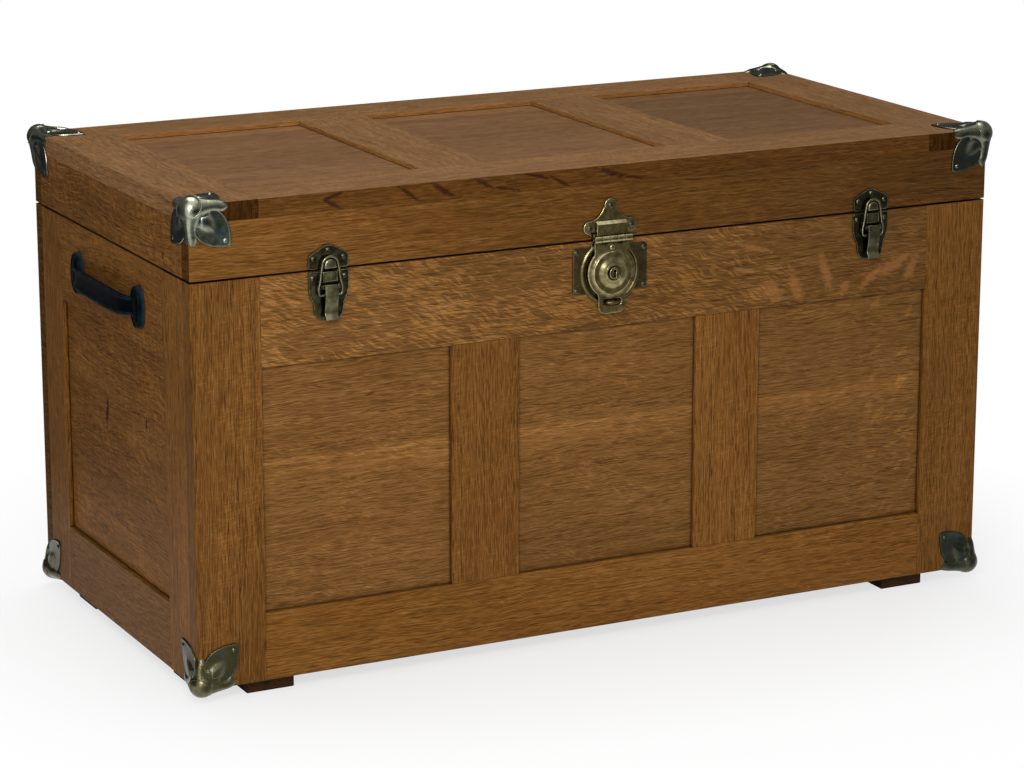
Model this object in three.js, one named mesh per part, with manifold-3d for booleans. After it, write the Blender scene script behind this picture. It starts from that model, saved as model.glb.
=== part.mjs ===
// A panelled oak sea chest with a hinged lid, brass corner clamps, draw bolts, a hasp lock and side handles.
// Millimetres, +Z up, front towards -Y. The frame's origin is on the floor, in the middle of the chest.
import * as THREE from "three";
import { mergeVertices } from "three/addons/utils/BufferGeometryUtils.js";
import Module from "manifold-3d";

const wasm = await Module();
wasm.setup();

// Overall sizes
const chestWidth = 1067;
const chestDepth = 518;
const bodyHeight = 480;
const lidHeight = 88;
const lidGap = 2;

// Boards of the frames
const boardThickness = 22;
const stileWidth = 85;
const sideStileWidth = 88;
const mullionWidth = 89;
const bottomRailHeight = 82;
const topRailHeight = 106;
const lidRailWidth = 80;
const panelThickness = 9;
const panelRecess = 6;
const bottomThickness = 15;
const edgeEase = 1.5;
const seamWidth = 0.6;

// Joints between boards
const glueLine = 0.1;
const grooveDepth = 9;
const grooveClearance = 0.3;

// Feet: square blocks with the outer corner cut out, clear of the corner clamps
const footHeight = 19;
const footSize = 109;
const footInset = 17;
const footNotch = 49;

// Counts
const panelCount = 3;
const hingeKnuckleCount = 15;
const lockKnuckleCount = 5;
const mergeTolerance = 1e-4;
const roundSteps = 32;
const smallRoundSteps = 12;
const rivetSteps = 8;
const clampCurveSteps = 8;
const hingeSteps = 10;
const leverSteps = 14;
const loopSteps = 40;
const loopSides = 4;

// Corner clamps, pressed from sheet brass
const clampSheet = 1.4;
const clampReach = 53;
const clampBulbRadius = 14.8;
const clampBulbInset = 5;
const clampRidgeLength = 47;
const clampRidgeRootRadius = 11;
const clampRidgeTipRadius = 5;
const clampRidgeInset = 2.5;
const clampNailPlace = 44;
const clampBulbSteps = 20;
const clampBulbRings = 10;
const seatGap = 0.1;

// Nails and rivets with domed heads
const rivetRadius = 2.9;
const rivetHeight = 1.5;

// Draw bolts
const boltFromEnd = 169;
const boltPlate = 1.5;
const boltHalfWidth = 25;
const catchHeight = 29;
const catchShoulder = 16.5;
const basePlateDrop = 59;
const plateToGap = 1.4;
const nubHalfWidth = 7.9;
const nubSpring = 5.9;
const nubReach = 8.5;
const boltBoxHalfWidth = 9;
const boltBoxDrop = 13.4;
const boltBoxReach = 7.4;
const boltBoxRim = 1.4;
const leverAxisDrop = 19;
const leverAxisReach = 7;
const leverPin = 1.4;
const leverHub = 2.8;
const leverHalfWidth = 8;
const leverSheet = 2;
const leverBulge = 3.4;
const leverDrop = 50;
const leverLipHeight = 9.5;
const leverLipReach = 6.5;
const earThickness = 2.4;
const earHalfHeight = 3.2;
const loopWire = 1.5;
const loopAxisDrop = 28.5;
const loopHalfWidth = 10;
const loopFootHalfWidth = 14.6;
const loopSocketDepth = 2.6;
const loopBarrel = 3;
const runningGap = 0.3;
const knuckleGap = 0.4;

// Lock
const lockPlate = 1.5;
const lockPlateHalfWidth = 49.5;
const lockPlateTop = 8;
const lockPlateBottom = 64;
const lockCentreDrop = 39;
const lockRingRadius = 40;
const lockRingInnerRadius = 34;
const lockRingHeight = 3.6;
const lockScrewSpread = 45.5;
const lockScrewInset = 5;
const stapleHalfWidth = 9.5;
const stapleWire = 2.2;
const stapleDrop = 75.5;
const stapleReach = 9;
const mountPlate = 2;
const mountHeight = 41;
const mountLobeSpread = 28;
const mountLobeHeight = 15.5;
const mountLobeRadius = 8;
const mountBoxHalfWidth = 20.5;
const mountBoxTop = 23;
const mountBoxBottom = 6.6;
const mountBoxReach = 7.2;
const haspAxisRise = 2;
const haspAxisReach = 7.6;
const haspKnuckleRadius = 4.4;
const haspPin = 1.6;
const haspHalfWidth = 25.5;
const haspNeckHalfWidth = 23.5;
const haspBack = 4.6;
const haspSheet = 2.2;
const haspDiscRadius = 32;
const haspRaisedRadius = 25.5;
const haspStep = 2.2;
const haspDome = 5.4;
const haspTabHalfWidth = 18;
const haspDrop = 89;
const haspSlotHalfWidth = 12.4;
const haspSlotHalfHeight = 4.4;
const keyShank = 5.6;
const keyHead = 7.2;
const keyHeadHeight = 1.8;
const keyholeHalfWidth = 0.9;
const keyholeHalfHeight = 3.4;
const keyholeDepth = 4;

// Continuous hinge along the back
const hingeLength = 1000;
const hingeLeafWidth = 20;
const hingeLeaf = 0.65;
const hingeKnuckleRadius = 3.4;
const hingePin = 1.5;
const hingeStandOff = 4;

// Side handles
const handleSpread = 203;
const handlePadHeight = 51;
const handlePadWidth = 30;
const handlePadReach = 9;
const handleGripHeight = 25;
const handleGripThickness = 4.5;
const handleGripReach = 18;
const handleBeadHeight = 4;
const handleBeadRise = 1.2;
const handleDrop = 58;
const handleBowSteps = 26;

// Shares that shape the curved pieces
const petalShares = { root: 0.13, side: 0.53, bend: 0.755, lean: 0.34, flank: 0.965, shoulder: 0.83, tip: 1 };
const petalTaper = 1.18;
const baseShares = {
  straight: 0.33,
  bend: 0.46,
  waist: 0.76,
  waistDrop: 0.68,
  lean: 0.66,
  leanDrop: 0.82,
  tip: 0.33,
};
const nubCrownShares = { width: 1.15, height: 1.7 };
const nailSideShare = 0.75;
const nailLowShare = 0.47;
const nailTopShare = 0.8;
const nailBaseShare = 0.15;
const leverBendShares = { high: 0.3, middle: 0.78, middleRise: 0.25 };
const mountWaistShare = 0.42;
const haspDomeShares = { shoulder: 0.94, shoulderRise: 0.55, crown: 0.62, crownRise: 0.86 };
const handleBowShares = [
  [-1, 0.12],
  [-0.9, 0.36],
  [-0.83, 0.74],
  [-0.68, 0.9],
  [-0.4, 0.98],
  [0, 1],
];

const cutOverrun = 5;

// Heights and faces that follow from the sizes above
const bodyTop = footHeight + bodyHeight;
const lidBottom = bodyTop + lidGap;
const gapMiddle = bodyTop + lidGap / 2;
const lidApronHeight = lidHeight - boardThickness - glueLine;
const frontFace = -chestDepth / 2;
const backFace = chestDepth / 2;
const rightFace = chestWidth / 2;
const grooveStart = panelRecess - grooveClearance;
const grooveEnd = panelRecess + panelThickness + grooveClearance;

const colours = {
  oak: { color: 0x7d5327, roughness: 0.5, metalness: 0 },
  oakEndGrain: { color: 0x4a2d14, roughness: 0.6, metalness: 0 },
  antiqueBrass: { color: 0x7d7350, roughness: 0.38, metalness: 1 },
  darkBrass: { color: 0x3c3a2b, roughness: 0.45, metalness: 1 },
  blackIron: { color: 0x15191d, roughness: 0.4, metalness: 0.5 },
  hingeBrass: { color: 0xa08a52, roughness: 0.35, metalness: 1 },
};

// Solids

function solidOf(geometry) {
  const bare = new THREE.BufferGeometry();
  bare.setAttribute("position", geometry.getAttribute("position").clone());
  if (geometry.index) bare.setIndex(geometry.index.clone());
  const merged = mergeVertices(bare, mergeTolerance);
  return new wasm.Manifold(
    new wasm.Mesh({
      numProp: 3,
      vertProperties: merged.attributes.position.array,
      triVerts: new Uint32Array(merged.index.array),
    }),
  );
}

function geometryOf(solid) {
  const mesh = solid.getMesh();
  const indexed = new THREE.BufferGeometry();
  indexed.setAttribute("position", new THREE.BufferAttribute(new Float32Array(mesh.vertProperties), 3));
  indexed.setIndex(new THREE.BufferAttribute(new Uint32Array(mesh.triVerts), 1));
  const geometry = indexed.toNonIndexed();
  geometry.computeVertexNormals();
  return geometry;
}

function join(...pieces) {
  return geometryOf(pieces.map(solidOf).reduce((whole, piece) => whole.add(piece)));
}

function cut(geometry, ...tools) {
  return geometryOf(tools.map(solidOf).reduce((whole, tool) => whole.subtract(tool), solidOf(geometry)));
}

function keep(geometry, mask) {
  return geometryOf(solidOf(geometry).intersect(solidOf(mask)));
}

// A box between two corners.
function boxBetween(low, high) {
  const size = high.map((value, axis) => value - low[axis]);
  const box = new THREE.BoxGeometry(...size);
  return box.translate(...low.map((value, axis) => value + size[axis] / 2));
}

// A shape drawn in X and Z, as seen from the front, thickened outwards to -Y from its distance to the wall.
function facePlate(shape, thickness, distance, curveSegments = smallRoundSteps) {
  const plate = new THREE.ExtrudeGeometry(shape, { depth: thickness, bevelEnabled: false, curveSegments });
  return plate.rotateX(Math.PI / 2).translate(0, -distance, 0);
}

// Turns X to Y, Y to Z and Z to X, which carries one face of a corner to the next.
const cycleAxes = new THREE.Matrix4().makeBasis(
  new THREE.Vector3(0, 1, 0),
  new THREE.Vector3(0, 0, 1),
  new THREE.Vector3(1, 0, 0),
);

// A shape drawn in Y and Z, extruded along X on both sides of the middle.
function sideProfile(shape, halfWidth) {
  const solid = new THREE.ExtrudeGeometry(shape, { depth: 2 * halfWidth, bevelEnabled: false });
  return solid.translate(0, 0, -halfWidth).applyMatrix4(cycleAxes);
}

// The outline of a strip of even thickness along a smooth line through the points.
function ribbon(points, thickness, steps) {
  const line = new THREE.SplineCurve(points.map(([x, y]) => new THREE.Vector2(x, y)));
  const sides = [-1, 1].map((side) =>
    [...Array(steps + 1).keys()].map((step) => {
      const along = step / steps;
      const tangent = line.getTangentAt(along);
      const normal = new THREE.Vector2(-tangent.y, tangent.x);
      return line.getPointAt(along).addScaledVector(normal, (side * thickness) / 2);
    }),
  );
  return new THREE.Shape([...sides[0], ...sides[1].reverse()]);
}

function outline(points) {
  return new THREE.Shape(points.map(([x, y]) => new THREE.Vector2(x, y)));
}

// A rod along X between two ends.
function rodAlongX(radius, start, end, y, z, steps = smallRoundSteps) {
  const rod = new THREE.CylinderGeometry(radius, radius, end - start, steps);
  return rod.rotateZ(Math.PI / 2).translate((start + end) / 2, y, z);
}

// A turned piece whose axis points out of the front face, from a closed run of radius and height pairs.
function turned(profile, steps = roundSteps) {
  const points = profile.map(([radius, height]) => new THREE.Vector2(radius, height));
  return new THREE.LatheGeometry(points, steps).rotateX(Math.PI);
}

// A domed rivet head standing on a plate that faces the front.
function rivet(x, z, plateFace) {
  const neckShare = 0.72;
  const root = clampSheet / 2;
  const head = turned(
    [
      [0, -root],
      [rivetRadius, -root],
      [rivetRadius, 0],
      [rivetRadius * neckShare, rivetHeight * neckShare],
      [0, rivetHeight],
    ],
    rivetSteps,
  );
  return head.translate(x, -plateFace, z);
}

function piece(name, geometry, finish, parent) {
  const mesh = new THREE.Mesh(geometry, new THREE.MeshStandardMaterial(colours[finish]));
  mesh.name = name;
  parent.add(mesh);
  return mesh;
}

// Frames of rails, mullions and panels, drawn as seen from outside: X across, Z up, Y into the wood

const tenonStart = panelRecess;
const tenonEnd = panelRecess + panelThickness;
const tenonLength = grooveDepth - grooveClearance;

// A rail between two stiles. Its groove holds the panels; its stub tenons fill the stiles' grooves.
function rail(length, height, grooveOnTop) {
  const half = length / 2 - glueLine;
  const plank = boxBetween([-half, 0, 0], [half, boardThickness, height]);
  const tenonLow = grooveOnTop ? 0 : grooveDepth;
  const tenonHigh = grooveOnTop ? height - grooveDepth : height;
  const tenons = boxBetween(
    [-half - tenonLength, tenonStart, tenonLow],
    [half + tenonLength, tenonEnd, tenonHigh],
  );
  const grooveLow = grooveOnTop ? height - grooveDepth : -cutOverrun;
  const grooveHigh = grooveOnTop ? height + cutOverrun : grooveDepth;
  const overrun = half + grooveDepth + cutOverrun;
  const groove = boxBetween([-overrun, grooveStart, grooveLow], [overrun, grooveEnd, grooveHigh]);
  return cut(join(plank, tenons), groove);
}

// A mullion between two rails, grooved along both edges, with stub tenons in the rails' grooves.
function mullion(length) {
  const half = mullionWidth / 2;
  const plank = boxBetween([-half, 0, glueLine], [half, boardThickness, length - glueLine]);
  const tenonHalf = half - grooveDepth;
  const tenons = boxBetween(
    [-tenonHalf, tenonStart, -tenonLength],
    [tenonHalf, tenonEnd, length + tenonLength],
  );
  const grooves = [-1, 1].map((side) => {
    const inner = side * tenonHalf;
    const outer = side * (half + cutOverrun);
    const low = [Math.min(inner, outer), grooveStart, -cutOverrun - grooveDepth];
    const high = [Math.max(inner, outer), grooveEnd, length + cutOverrun + grooveDepth];
    return boxBetween(low, high);
  });
  return cut(join(plank, tenons), ...grooves);
}

// A flat panel that floats in the grooves around its opening.
function panel(width, height) {
  const halfWidth = width / 2 + tenonLength;
  return boxBetween(
    [-halfWidth, panelRecess, -tenonLength],
    [halfWidth, panelRecess + panelThickness, height + tenonLength],
  );
}

// The rails, mullions and panels between two stiles, named from the bottom up and from left to right.
function addLadder(parent, { span, height, lowRail, highRail, names }) {
  const openingHeight = height - lowRail - highRail;
  const count = names.panels.length;
  const panelWidth = (span - (count - 1) * mullionWidth) / count;
  piece(names.rails[0], rail(span, lowRail, true), "oak", parent);
  piece(names.rails[1], rail(span, highRail, false), "oak", parent).position.z = height - highRail;
  names.panels.forEach((name, index) => {
    const board = piece(name, panel(panelWidth, openingHeight), "oak", parent);
    board.position.set(-span / 2 + panelWidth / 2 + index * (panelWidth + mullionWidth), 0, lowRail);
  });
  names.mullions.forEach((name, index) => {
    const upright = piece(name, mullion(openingHeight), "oak", parent);
    const step = (index + 1) * panelWidth + (index + 0.5) * mullionWidth;
    upright.position.set(-span / 2 + step, 0, lowRail);
  });
}

// A single stile with its groove on the right, standing on its lower end.
function stile(width, height) {
  const plank = boxBetween([0, 0, 0], [width, boardThickness, height]);
  const groove = boxBetween(
    [width - grooveDepth, grooveStart, -cutOverrun],
    [width + cutOverrun, grooveEnd, height + cutOverrun],
  );
  return cut(plank, groove);
}

// Front corner post: a front stile glued over the edge of a side stile, with the seam scored.
function cornerPost() {
  const sideLeg = sideStileWidth;
  const shape = outline([
    [edgeEase, 0],
    [stileWidth, 0],
    [stileWidth, grooveStart],
    [stileWidth - grooveDepth, grooveStart],
    [stileWidth - grooveDepth, grooveEnd],
    [stileWidth, grooveEnd],
    [stileWidth, boardThickness],
    [boardThickness, boardThickness],
    [boardThickness, sideLeg],
    [grooveEnd, sideLeg],
    [grooveEnd, sideLeg - grooveDepth],
    [grooveStart, sideLeg - grooveDepth],
    [grooveStart, sideLeg],
    [0, sideLeg],
    [0, boardThickness + seamWidth],
    [seamWidth, boardThickness + seamWidth / 2],
    [0, boardThickness],
    [0, edgeEase],
  ]);
  return new THREE.ExtrudeGeometry(shape, { depth: bodyHeight, bevelEnabled: false });
}

function foot() {
  const far = footInset + footSize;
  const notch = footInset + footNotch;
  const shape = outline([
    [notch, footInset],
    [far, footInset],
    [far, far],
    [footInset, far],
    [footInset, notch],
    [notch, notch],
  ]);
  return new THREE.ExtrudeGeometry(shape, { depth: footHeight - glueLine, bevelEnabled: false });
}

// The pieces at the four upright corners share one place: mirrored about the chest's middle planes.
const corners = [
  { name: "front_left", x: 1, y: 1 },
  { name: "front_right", x: -1, y: 1 },
  { name: "back_left", x: 1, y: -1 },
  { name: "back_right", x: -1, y: -1 },
];

function placeAtCorner(mesh, corner, z, up = 1) {
  mesh.position.set(-corner.x * rightFace, -corner.y * backFace, z);
  mesh.scale.set(corner.x, corner.y, up);
}

function addFrontWall(body) {
  const wall = new THREE.Group();
  wall.position.set(0, frontFace, footHeight);
  addLadder(wall, {
    span: chestWidth - 2 * stileWidth,
    height: bodyHeight,
    lowRail: bottomRailHeight,
    highRail: topRailHeight,
    names: {
      rails: ["front_bottom_rail", "front_top_rail"],
      mullions: ["front_left_mullion", "front_right_mullion"],
      panels: ["front_left_panel", "front_middle_panel", "front_right_panel"],
    },
  });
  body.add(wall);
}

function addSideWall(body, side) {
  const sign = side === "left" ? -1 : 1;
  const wall = new THREE.Group();
  wall.position.set(sign * rightFace, 0, footHeight);
  wall.rotation.z = (sign * Math.PI) / 2;
  addLadder(wall, {
    span: chestDepth - 2 * sideStileWidth,
    height: bodyHeight,
    lowRail: bottomRailHeight,
    highRail: topRailHeight,
    names: { rails: [`${side}_bottom_rail`, `${side}_top_rail`], mullions: [], panels: [`${side}_panel`] },
  });
  const rearWidth = sideStileWidth - boardThickness - glueLine;
  const rear = piece(`${side}_rear_stile`, stile(rearWidth, bodyHeight), "oak", wall);
  rear.scale.x = -sign;
  rear.position.x = sign * (chestDepth / 2 - boardThickness - glueLine);
  body.add(wall);
}

function addBody(body) {
  corners.slice(0, 2).forEach((corner) => {
    placeAtCorner(piece(`${corner.name}_post`, cornerPost(), "oak", body), corner, footHeight);
  });
  addFrontWall(body);
  addSideWall(body, "left");
  addSideWall(body, "right");

  const back = boxBetween(
    [-rightFace, backFace - boardThickness, footHeight],
    [rightFace, backFace, bodyTop],
  );
  piece("back_board", back, "oak", body);

  const insideX = rightFace - boardThickness - glueLine;
  const insideY = backFace - boardThickness - glueLine;
  const bottom = boxBetween(
    [-insideX, -insideY, footHeight],
    [insideX, insideY, footHeight + bottomThickness],
  );
  piece("bottom_board", bottom, "oak", body);

  corners.forEach((corner) => {
    placeAtCorner(piece(`${corner.name}_foot`, foot(), "oakEndGrain", body), corner, 0);
  });
}

// The lid: a panelled top over four aprons

function addLid(lid) {
  const apronTop = lidBottom + lidApronHeight;
  const inner = backFace - boardThickness;
  [-1, 1].forEach((side) => {
    const near = side * inner;
    const far = side * backFace;
    const low = [-rightFace, Math.min(near, far), lidBottom];
    const high = [rightFace, Math.max(near, far), apronTop];
    piece(side < 0 ? "lid_front_apron" : "lid_back_apron", boxBetween(low, high), "oak", lid);
  });
  [-1, 1].forEach((side) => {
    const near = side * (rightFace - boardThickness);
    const far = side * rightFace;
    const low = [Math.min(near, far), glueLine - inner, lidBottom];
    const high = [Math.max(near, far), inner - glueLine, apronTop];
    piece(side < 0 ? "lid_left_apron" : "lid_right_apron", boxBetween(low, high), "oak", lid);
  });

  const top = new THREE.Group();
  top.position.set(0, frontFace, lidBottom + lidHeight);
  top.rotation.x = -Math.PI / 2;
  addLadder(top, {
    span: chestWidth - 2 * stileWidth,
    height: chestDepth,
    lowRail: lidRailWidth,
    highRail: lidRailWidth,
    names: {
      rails: ["lid_front_rail", "lid_back_rail"],
      mullions: ["lid_left_mullion", "lid_right_mullion"],
      panels: ["lid_left_panel", "lid_middle_panel", "lid_right_panel"],
    },
  });
  [-1, 1].forEach((side) => {
    const name = side < 0 ? "lid_left_stile" : "lid_right_stile";
    const end = piece(name, stile(stileWidth, chestDepth), "oak", top);
    end.scale.x = -side;
    end.position.x = side * rightFace;
  });
  lid.add(top);
}

// Corner clamps, drawn for the corner whose wood fills the positive octant

// One petal on the front face, a broad leaf with its tip on the diagonal and its root under the bulb.
function petalShape() {
  const root = petalShares.root * clampReach;
  const side = petalShares.side * clampReach;
  const bend = petalShares.bend * clampReach;
  const lean = petalShares.lean * clampReach;
  const flank = petalShares.flank * clampReach;
  const shoulder = petalShares.shoulder * clampReach;
  const tip = petalShares.tip * clampReach;
  const shape = new THREE.Shape();
  shape.moveTo(root, root);
  shape.lineTo(root, side);
  shape.bezierCurveTo(root, bend, lean, flank, shoulder, shoulder * petalTaper);
  shape.quadraticCurveTo(tip, tip, shoulder * petalTaper, shoulder);
  shape.bezierCurveTo(flank, lean, bend, root, side, root);
  return shape;
}

// One third of a clamp: a petal with its nail, and the ridge along one edge.
function clampThird() {
  const petal = facePlate(petalShape(), clampSheet, seatGap, clampCurveSteps);
  const nail = rivet(clampNailPlace, clampNailPlace, seatGap + clampSheet);
  const ridge = new THREE.CylinderGeometry(
    clampRidgeTipRadius,
    clampRidgeRootRadius,
    clampRidgeLength,
    smallRoundSteps,
  );
  ridge.translate(clampRidgeInset, clampRidgeLength / 2, clampRidgeInset);
  return join(petal, nail, ridge);
}

function clamp() {
  const thirds = [clampThird()];
  thirds.push(thirds[0].clone().applyMatrix4(cycleAxes));
  thirds.push(thirds[1].clone().applyMatrix4(cycleAxes));
  const bulb = new THREE.SphereGeometry(clampBulbRadius, clampBulbSteps, clampBulbRings);
  bulb.translate(clampBulbInset, clampBulbInset, clampBulbInset);
  const wood = boxBetween(Array(3).fill(-seatGap), Array(3).fill(2 * clampReach));
  return cut(join(bulb, ...thirds), wood);
}

function addClamps(body, lid) {
  corners.forEach((corner) => {
    const low = piece(`body_${corner.name}_clamp`, clamp(), "antiqueBrass", body);
    placeAtCorner(low, corner, footHeight);
    const high = piece(`lid_${corner.name}_clamp`, clamp(), "antiqueBrass", lid);
    placeAtCorner(high, corner, lidBottom + lidHeight, -1);
  });
}

// Draw bolts, drawn about the middle of the gap between lid and body

// The five-sided plate on the lid, with the nub that the wire loop pulls on.
function boltCatch() {
  const apexShare = 0.24;
  const slopeShare = 0.95;
  const roundShare = 0.9;
  const apexHalf = apexShare * boltHalfWidth;
  const slopeTop = slopeShare * catchHeight;
  const shape = new THREE.Shape();
  shape.moveTo(-boltHalfWidth, plateToGap);
  shape.lineTo(boltHalfWidth, plateToGap);
  shape.lineTo(boltHalfWidth, roundShare * catchShoulder);
  shape.quadraticCurveTo(
    boltHalfWidth,
    catchShoulder,
    roundShare * boltHalfWidth,
    catchShoulder / roundShare,
  );
  shape.lineTo(apexHalf, slopeTop);
  shape.quadraticCurveTo(0, 2 * catchHeight - slopeTop, -apexHalf, slopeTop);
  shape.lineTo(-roundShare * boltHalfWidth, catchShoulder / roundShare);
  shape.quadraticCurveTo(-boltHalfWidth, catchShoulder, -boltHalfWidth, roundShare * catchShoulder);

  const nubShape = new THREE.Shape();
  nubShape.moveTo(-nubHalfWidth, plateToGap);
  nubShape.lineTo(nubHalfWidth, plateToGap);
  nubShape.lineTo(nubHalfWidth, nubSpring);
  nubShape.absarc(0, nubSpring, nubHalfWidth, 0, Math.PI);
  const crown = new THREE.SphereGeometry(nubReach, smallRoundSteps, rivetSteps);
  crown.scale(nubCrownShares.width, 1, nubCrownShares.height).translate(0, 0, nubSpring / 2);
  const nub = keep(facePlate(nubShape, nubReach, seatGap), crown);

  const nailSide = nailSideShare * boltHalfWidth;
  const plateFace = seatGap + boltPlate;
  return join(
    facePlate(shape, boltPlate, seatGap),
    nub,
    rivet(-nailSide, nailLowShare * catchHeight, plateFace),
    rivet(nailSide, nailLowShare * catchHeight, plateFace),
    rivet(0, nailTopShare * catchHeight, plateFace),
  );
}

// The shield-shaped plate on the body, with a raised box, two ears and the lever's pin.
function boltBase() {
  const { straight, bend, waist, waistDrop, lean, leanDrop, tip } = baseShares;
  const half = [
    [boltHalfWidth, -straight * basePlateDrop],
    [boltHalfWidth, -bend * basePlateDrop],
    [(boltHalfWidth * (1 + waist)) / 2, -((bend + waistDrop) / 2) * basePlateDrop],
    [waist * boltHalfWidth, -waistDrop * basePlateDrop],
    [waist * boltHalfWidth, -leanDrop * basePlateDrop],
    [lean * boltHalfWidth, -basePlateDrop],
    [tip * boltHalfWidth, -basePlateDrop],
  ];
  const [shoulderStart, shoulderHigh, shoulderLow, waistEnd, footHigh, footLow, tipEnd] = half;
  const mirror = ([x, z]) => [-x, z];
  const shape = new THREE.Shape();
  shape.moveTo(boltHalfWidth, -plateToGap);
  shape.lineTo(...shoulderStart);
  shape.bezierCurveTo(...shoulderHigh, ...shoulderLow, ...waistEnd);
  shape.bezierCurveTo(...footHigh, ...footLow, ...tipEnd);
  shape.lineTo(...mirror(tipEnd));
  shape.bezierCurveTo(...mirror(footLow), ...mirror(footHigh), ...mirror(waistEnd));
  shape.bezierCurveTo(...mirror(shoulderLow), ...mirror(shoulderHigh), ...mirror(shoulderStart));
  shape.lineTo(-boltHalfWidth, -plateToGap);

  const box = boxBetween(
    [-boltBoxHalfWidth, -boltBoxReach, -boltBoxDrop],
    [boltBoxHalfWidth, -seatGap, -plateToGap],
  );
  const recess = boxBetween(
    [boltBoxRim - boltBoxHalfWidth, -boltBoxReach - cutOverrun, boltBoxRim - boltBoxDrop],
    [boltBoxHalfWidth - boltBoxRim, boltBoxRim - boltBoxReach, -plateToGap - boltBoxRim],
  );
  const earInner = leverHalfWidth + runningGap;
  const earOuter = earInner + earThickness;
  const ears = [-1, 1].map((side) => {
    const low = Math.min(side * earInner, side * earOuter);
    const root = boxBetween(
      [low, -leverAxisReach, -leverAxisDrop - earHalfHeight],
      [low + earThickness, -seatGap, -leverAxisDrop + earHalfHeight],
    );
    const round = rodAlongX(earHalfHeight, low, low + earThickness, -leverAxisReach, -leverAxisDrop);
    return join(root, round);
  });
  const pin = rodAlongX(leverPin, -earOuter, earOuter, -leverAxisReach, -leverAxisDrop);
  const nailSide = nailSideShare * boltHalfWidth;
  const nailDrop = nailBaseShare * basePlateDrop;
  const nails = [-1, 1].map((side) => rivet(side * nailSide, -nailDrop, seatGap + boltPlate));
  return join(facePlate(shape, boltPlate, seatGap), cut(box, recess), ...ears, pin, ...nails);
}

// The lever: a hub on the pin, a bowed tongue with a flared lip, and a barrel with sockets for the loop.
function boltLever() {
  const tongueLength = leverDrop - leverAxisDrop;
  const { high, middle, middleRise } = leverBendShares;
  const centreLine = [
    [-leverAxisReach - leverHub + leverSheet / 2, -leverAxisDrop],
    [-leverAxisReach - leverBulge, -leverAxisDrop - high * tongueLength],
    [-leverAxisReach - leverBulge * middleRise, -leverAxisDrop - middle * tongueLength],
    [-leverAxisReach, -leverDrop],
    [-leverAxisReach - leverLipReach, -leverDrop - leverLipHeight],
  ];
  const tongue = sideProfile(ribbon(centreLine, leverSheet, leverSteps), leverHalfWidth);
  const hub = rodAlongX(leverHub, -leverHalfWidth, leverHalfWidth, -leverAxisReach, -leverAxisDrop);
  const barrel = rodAlongX(loopBarrel, -leverHalfWidth, leverHalfWidth, -leverAxisReach, -loopAxisDrop);
  const hubBore = rodAlongX(
    leverPin + runningGap,
    -leverHalfWidth - cutOverrun,
    leverHalfWidth + cutOverrun,
    -leverAxisReach,
    -leverAxisDrop,
  );
  const sockets = [-1, 1].map((side) => {
    const inner = side * (leverHalfWidth - loopSocketDepth);
    const outer = side * (leverHalfWidth + cutOverrun);
    const start = Math.min(inner, outer);
    return rodAlongX(loopWire + runningGap, start, Math.max(inner, outer), -leverAxisReach, -loopAxisDrop);
  });
  return cut(join(tongue, hub, barrel), hubBore, ...sockets);
}

// The bent wire loop: an arch over the nub whose legs spread downwards and turn in to the lever's sockets.
function boltLoop() {
  const footEnd = leverHalfWidth - loopSocketDepth + runningGap;
  const bend = 2 * loopWire;
  const half = [
    [footEnd, -loopAxisDrop],
    [leverHalfWidth + bend, -loopAxisDrop],
    [loopFootHalfWidth, -loopAxisDrop + bend],
    [(loopFootHalfWidth + loopHalfWidth) / 2, (nubSpring - loopAxisDrop) / 2],
    [loopHalfWidth, nubSpring],
  ];
  const arch = [1, 2, 3].map((step) => {
    const angle = (step * Math.PI) / 4;
    return [loopHalfWidth * Math.cos(angle), nubSpring + loopHalfWidth * Math.sin(angle)];
  });
  const mirrored = half.map(([x, z]) => [-x, z]).reverse();
  const route = [...half, ...arch, ...mirrored].map(([x, z]) => new THREE.Vector3(x, -leverAxisReach, z));
  const section = new THREE.Shape().absarc(0, 0, loopWire, 0, 2 * Math.PI);
  return new THREE.ExtrudeGeometry(section, {
    steps: loopSteps,
    curveSegments: loopSides,
    extrudePath: new THREE.CatmullRomCurve3(route, false, "centripetal"),
  });
}

function addDrawBolts(groups) {
  [-1, 1].forEach((side) => {
    const name = side < 0 ? "left" : "right";
    const place = new THREE.Vector3(side * (rightFace - boltFromEnd), frontFace, gapMiddle);
    piece(`${name}_catch`, boltCatch(), "darkBrass", groups.lid).position.copy(place);
    piece(`${name}_latch_base`, boltBase(), "darkBrass", groups.body).position.copy(place);
    piece(`${name}_latch_lever`, boltLever(), "antiqueBrass", groups.body).position.copy(place);
    piece(`${name}_latch_loop`, boltLoop(), "antiqueBrass", groups.body).position.copy(place);
  });
}

// The lock, drawn about the middle of the gap

const knuckleBottom = haspAxisRise - haspKnuckleRadius - knuckleGap;

// A row of equal knuckles along X about the origin. The holder of the pin has the even ones.
function knuckles({ length, count, radius, pin, bored, steps }) {
  const pitch = length / count;
  const own = [...Array(count).keys()].filter((index) => (index % 2 === 0) !== bored);
  const spans = own.map((index) => {
    const start = -length / 2 + index * pitch;
    return [start + knuckleGap / 2, start + pitch - knuckleGap / 2];
  });
  const rings = spans.map(([start, end]) => rodAlongX(radius, start, end, 0, 0, steps));
  const pinRadius = bored ? pin + runningGap : pin;
  const pinHalf = bored ? length / 2 + cutOverrun : length / 2 - knuckleGap / 2;
  return { spans, rings, pinRod: rodAlongX(pinRadius, -pinHalf, pinHalf, 0, 0, steps) };
}

function lockKnuckles(bored) {
  return knuckles({
    length: 2 * haspHalfWidth,
    count: lockKnuckleCount,
    radius: haspKnuckleRadius,
    pin: haspPin,
    bored,
    steps: smallRoundSteps,
  });
}

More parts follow.
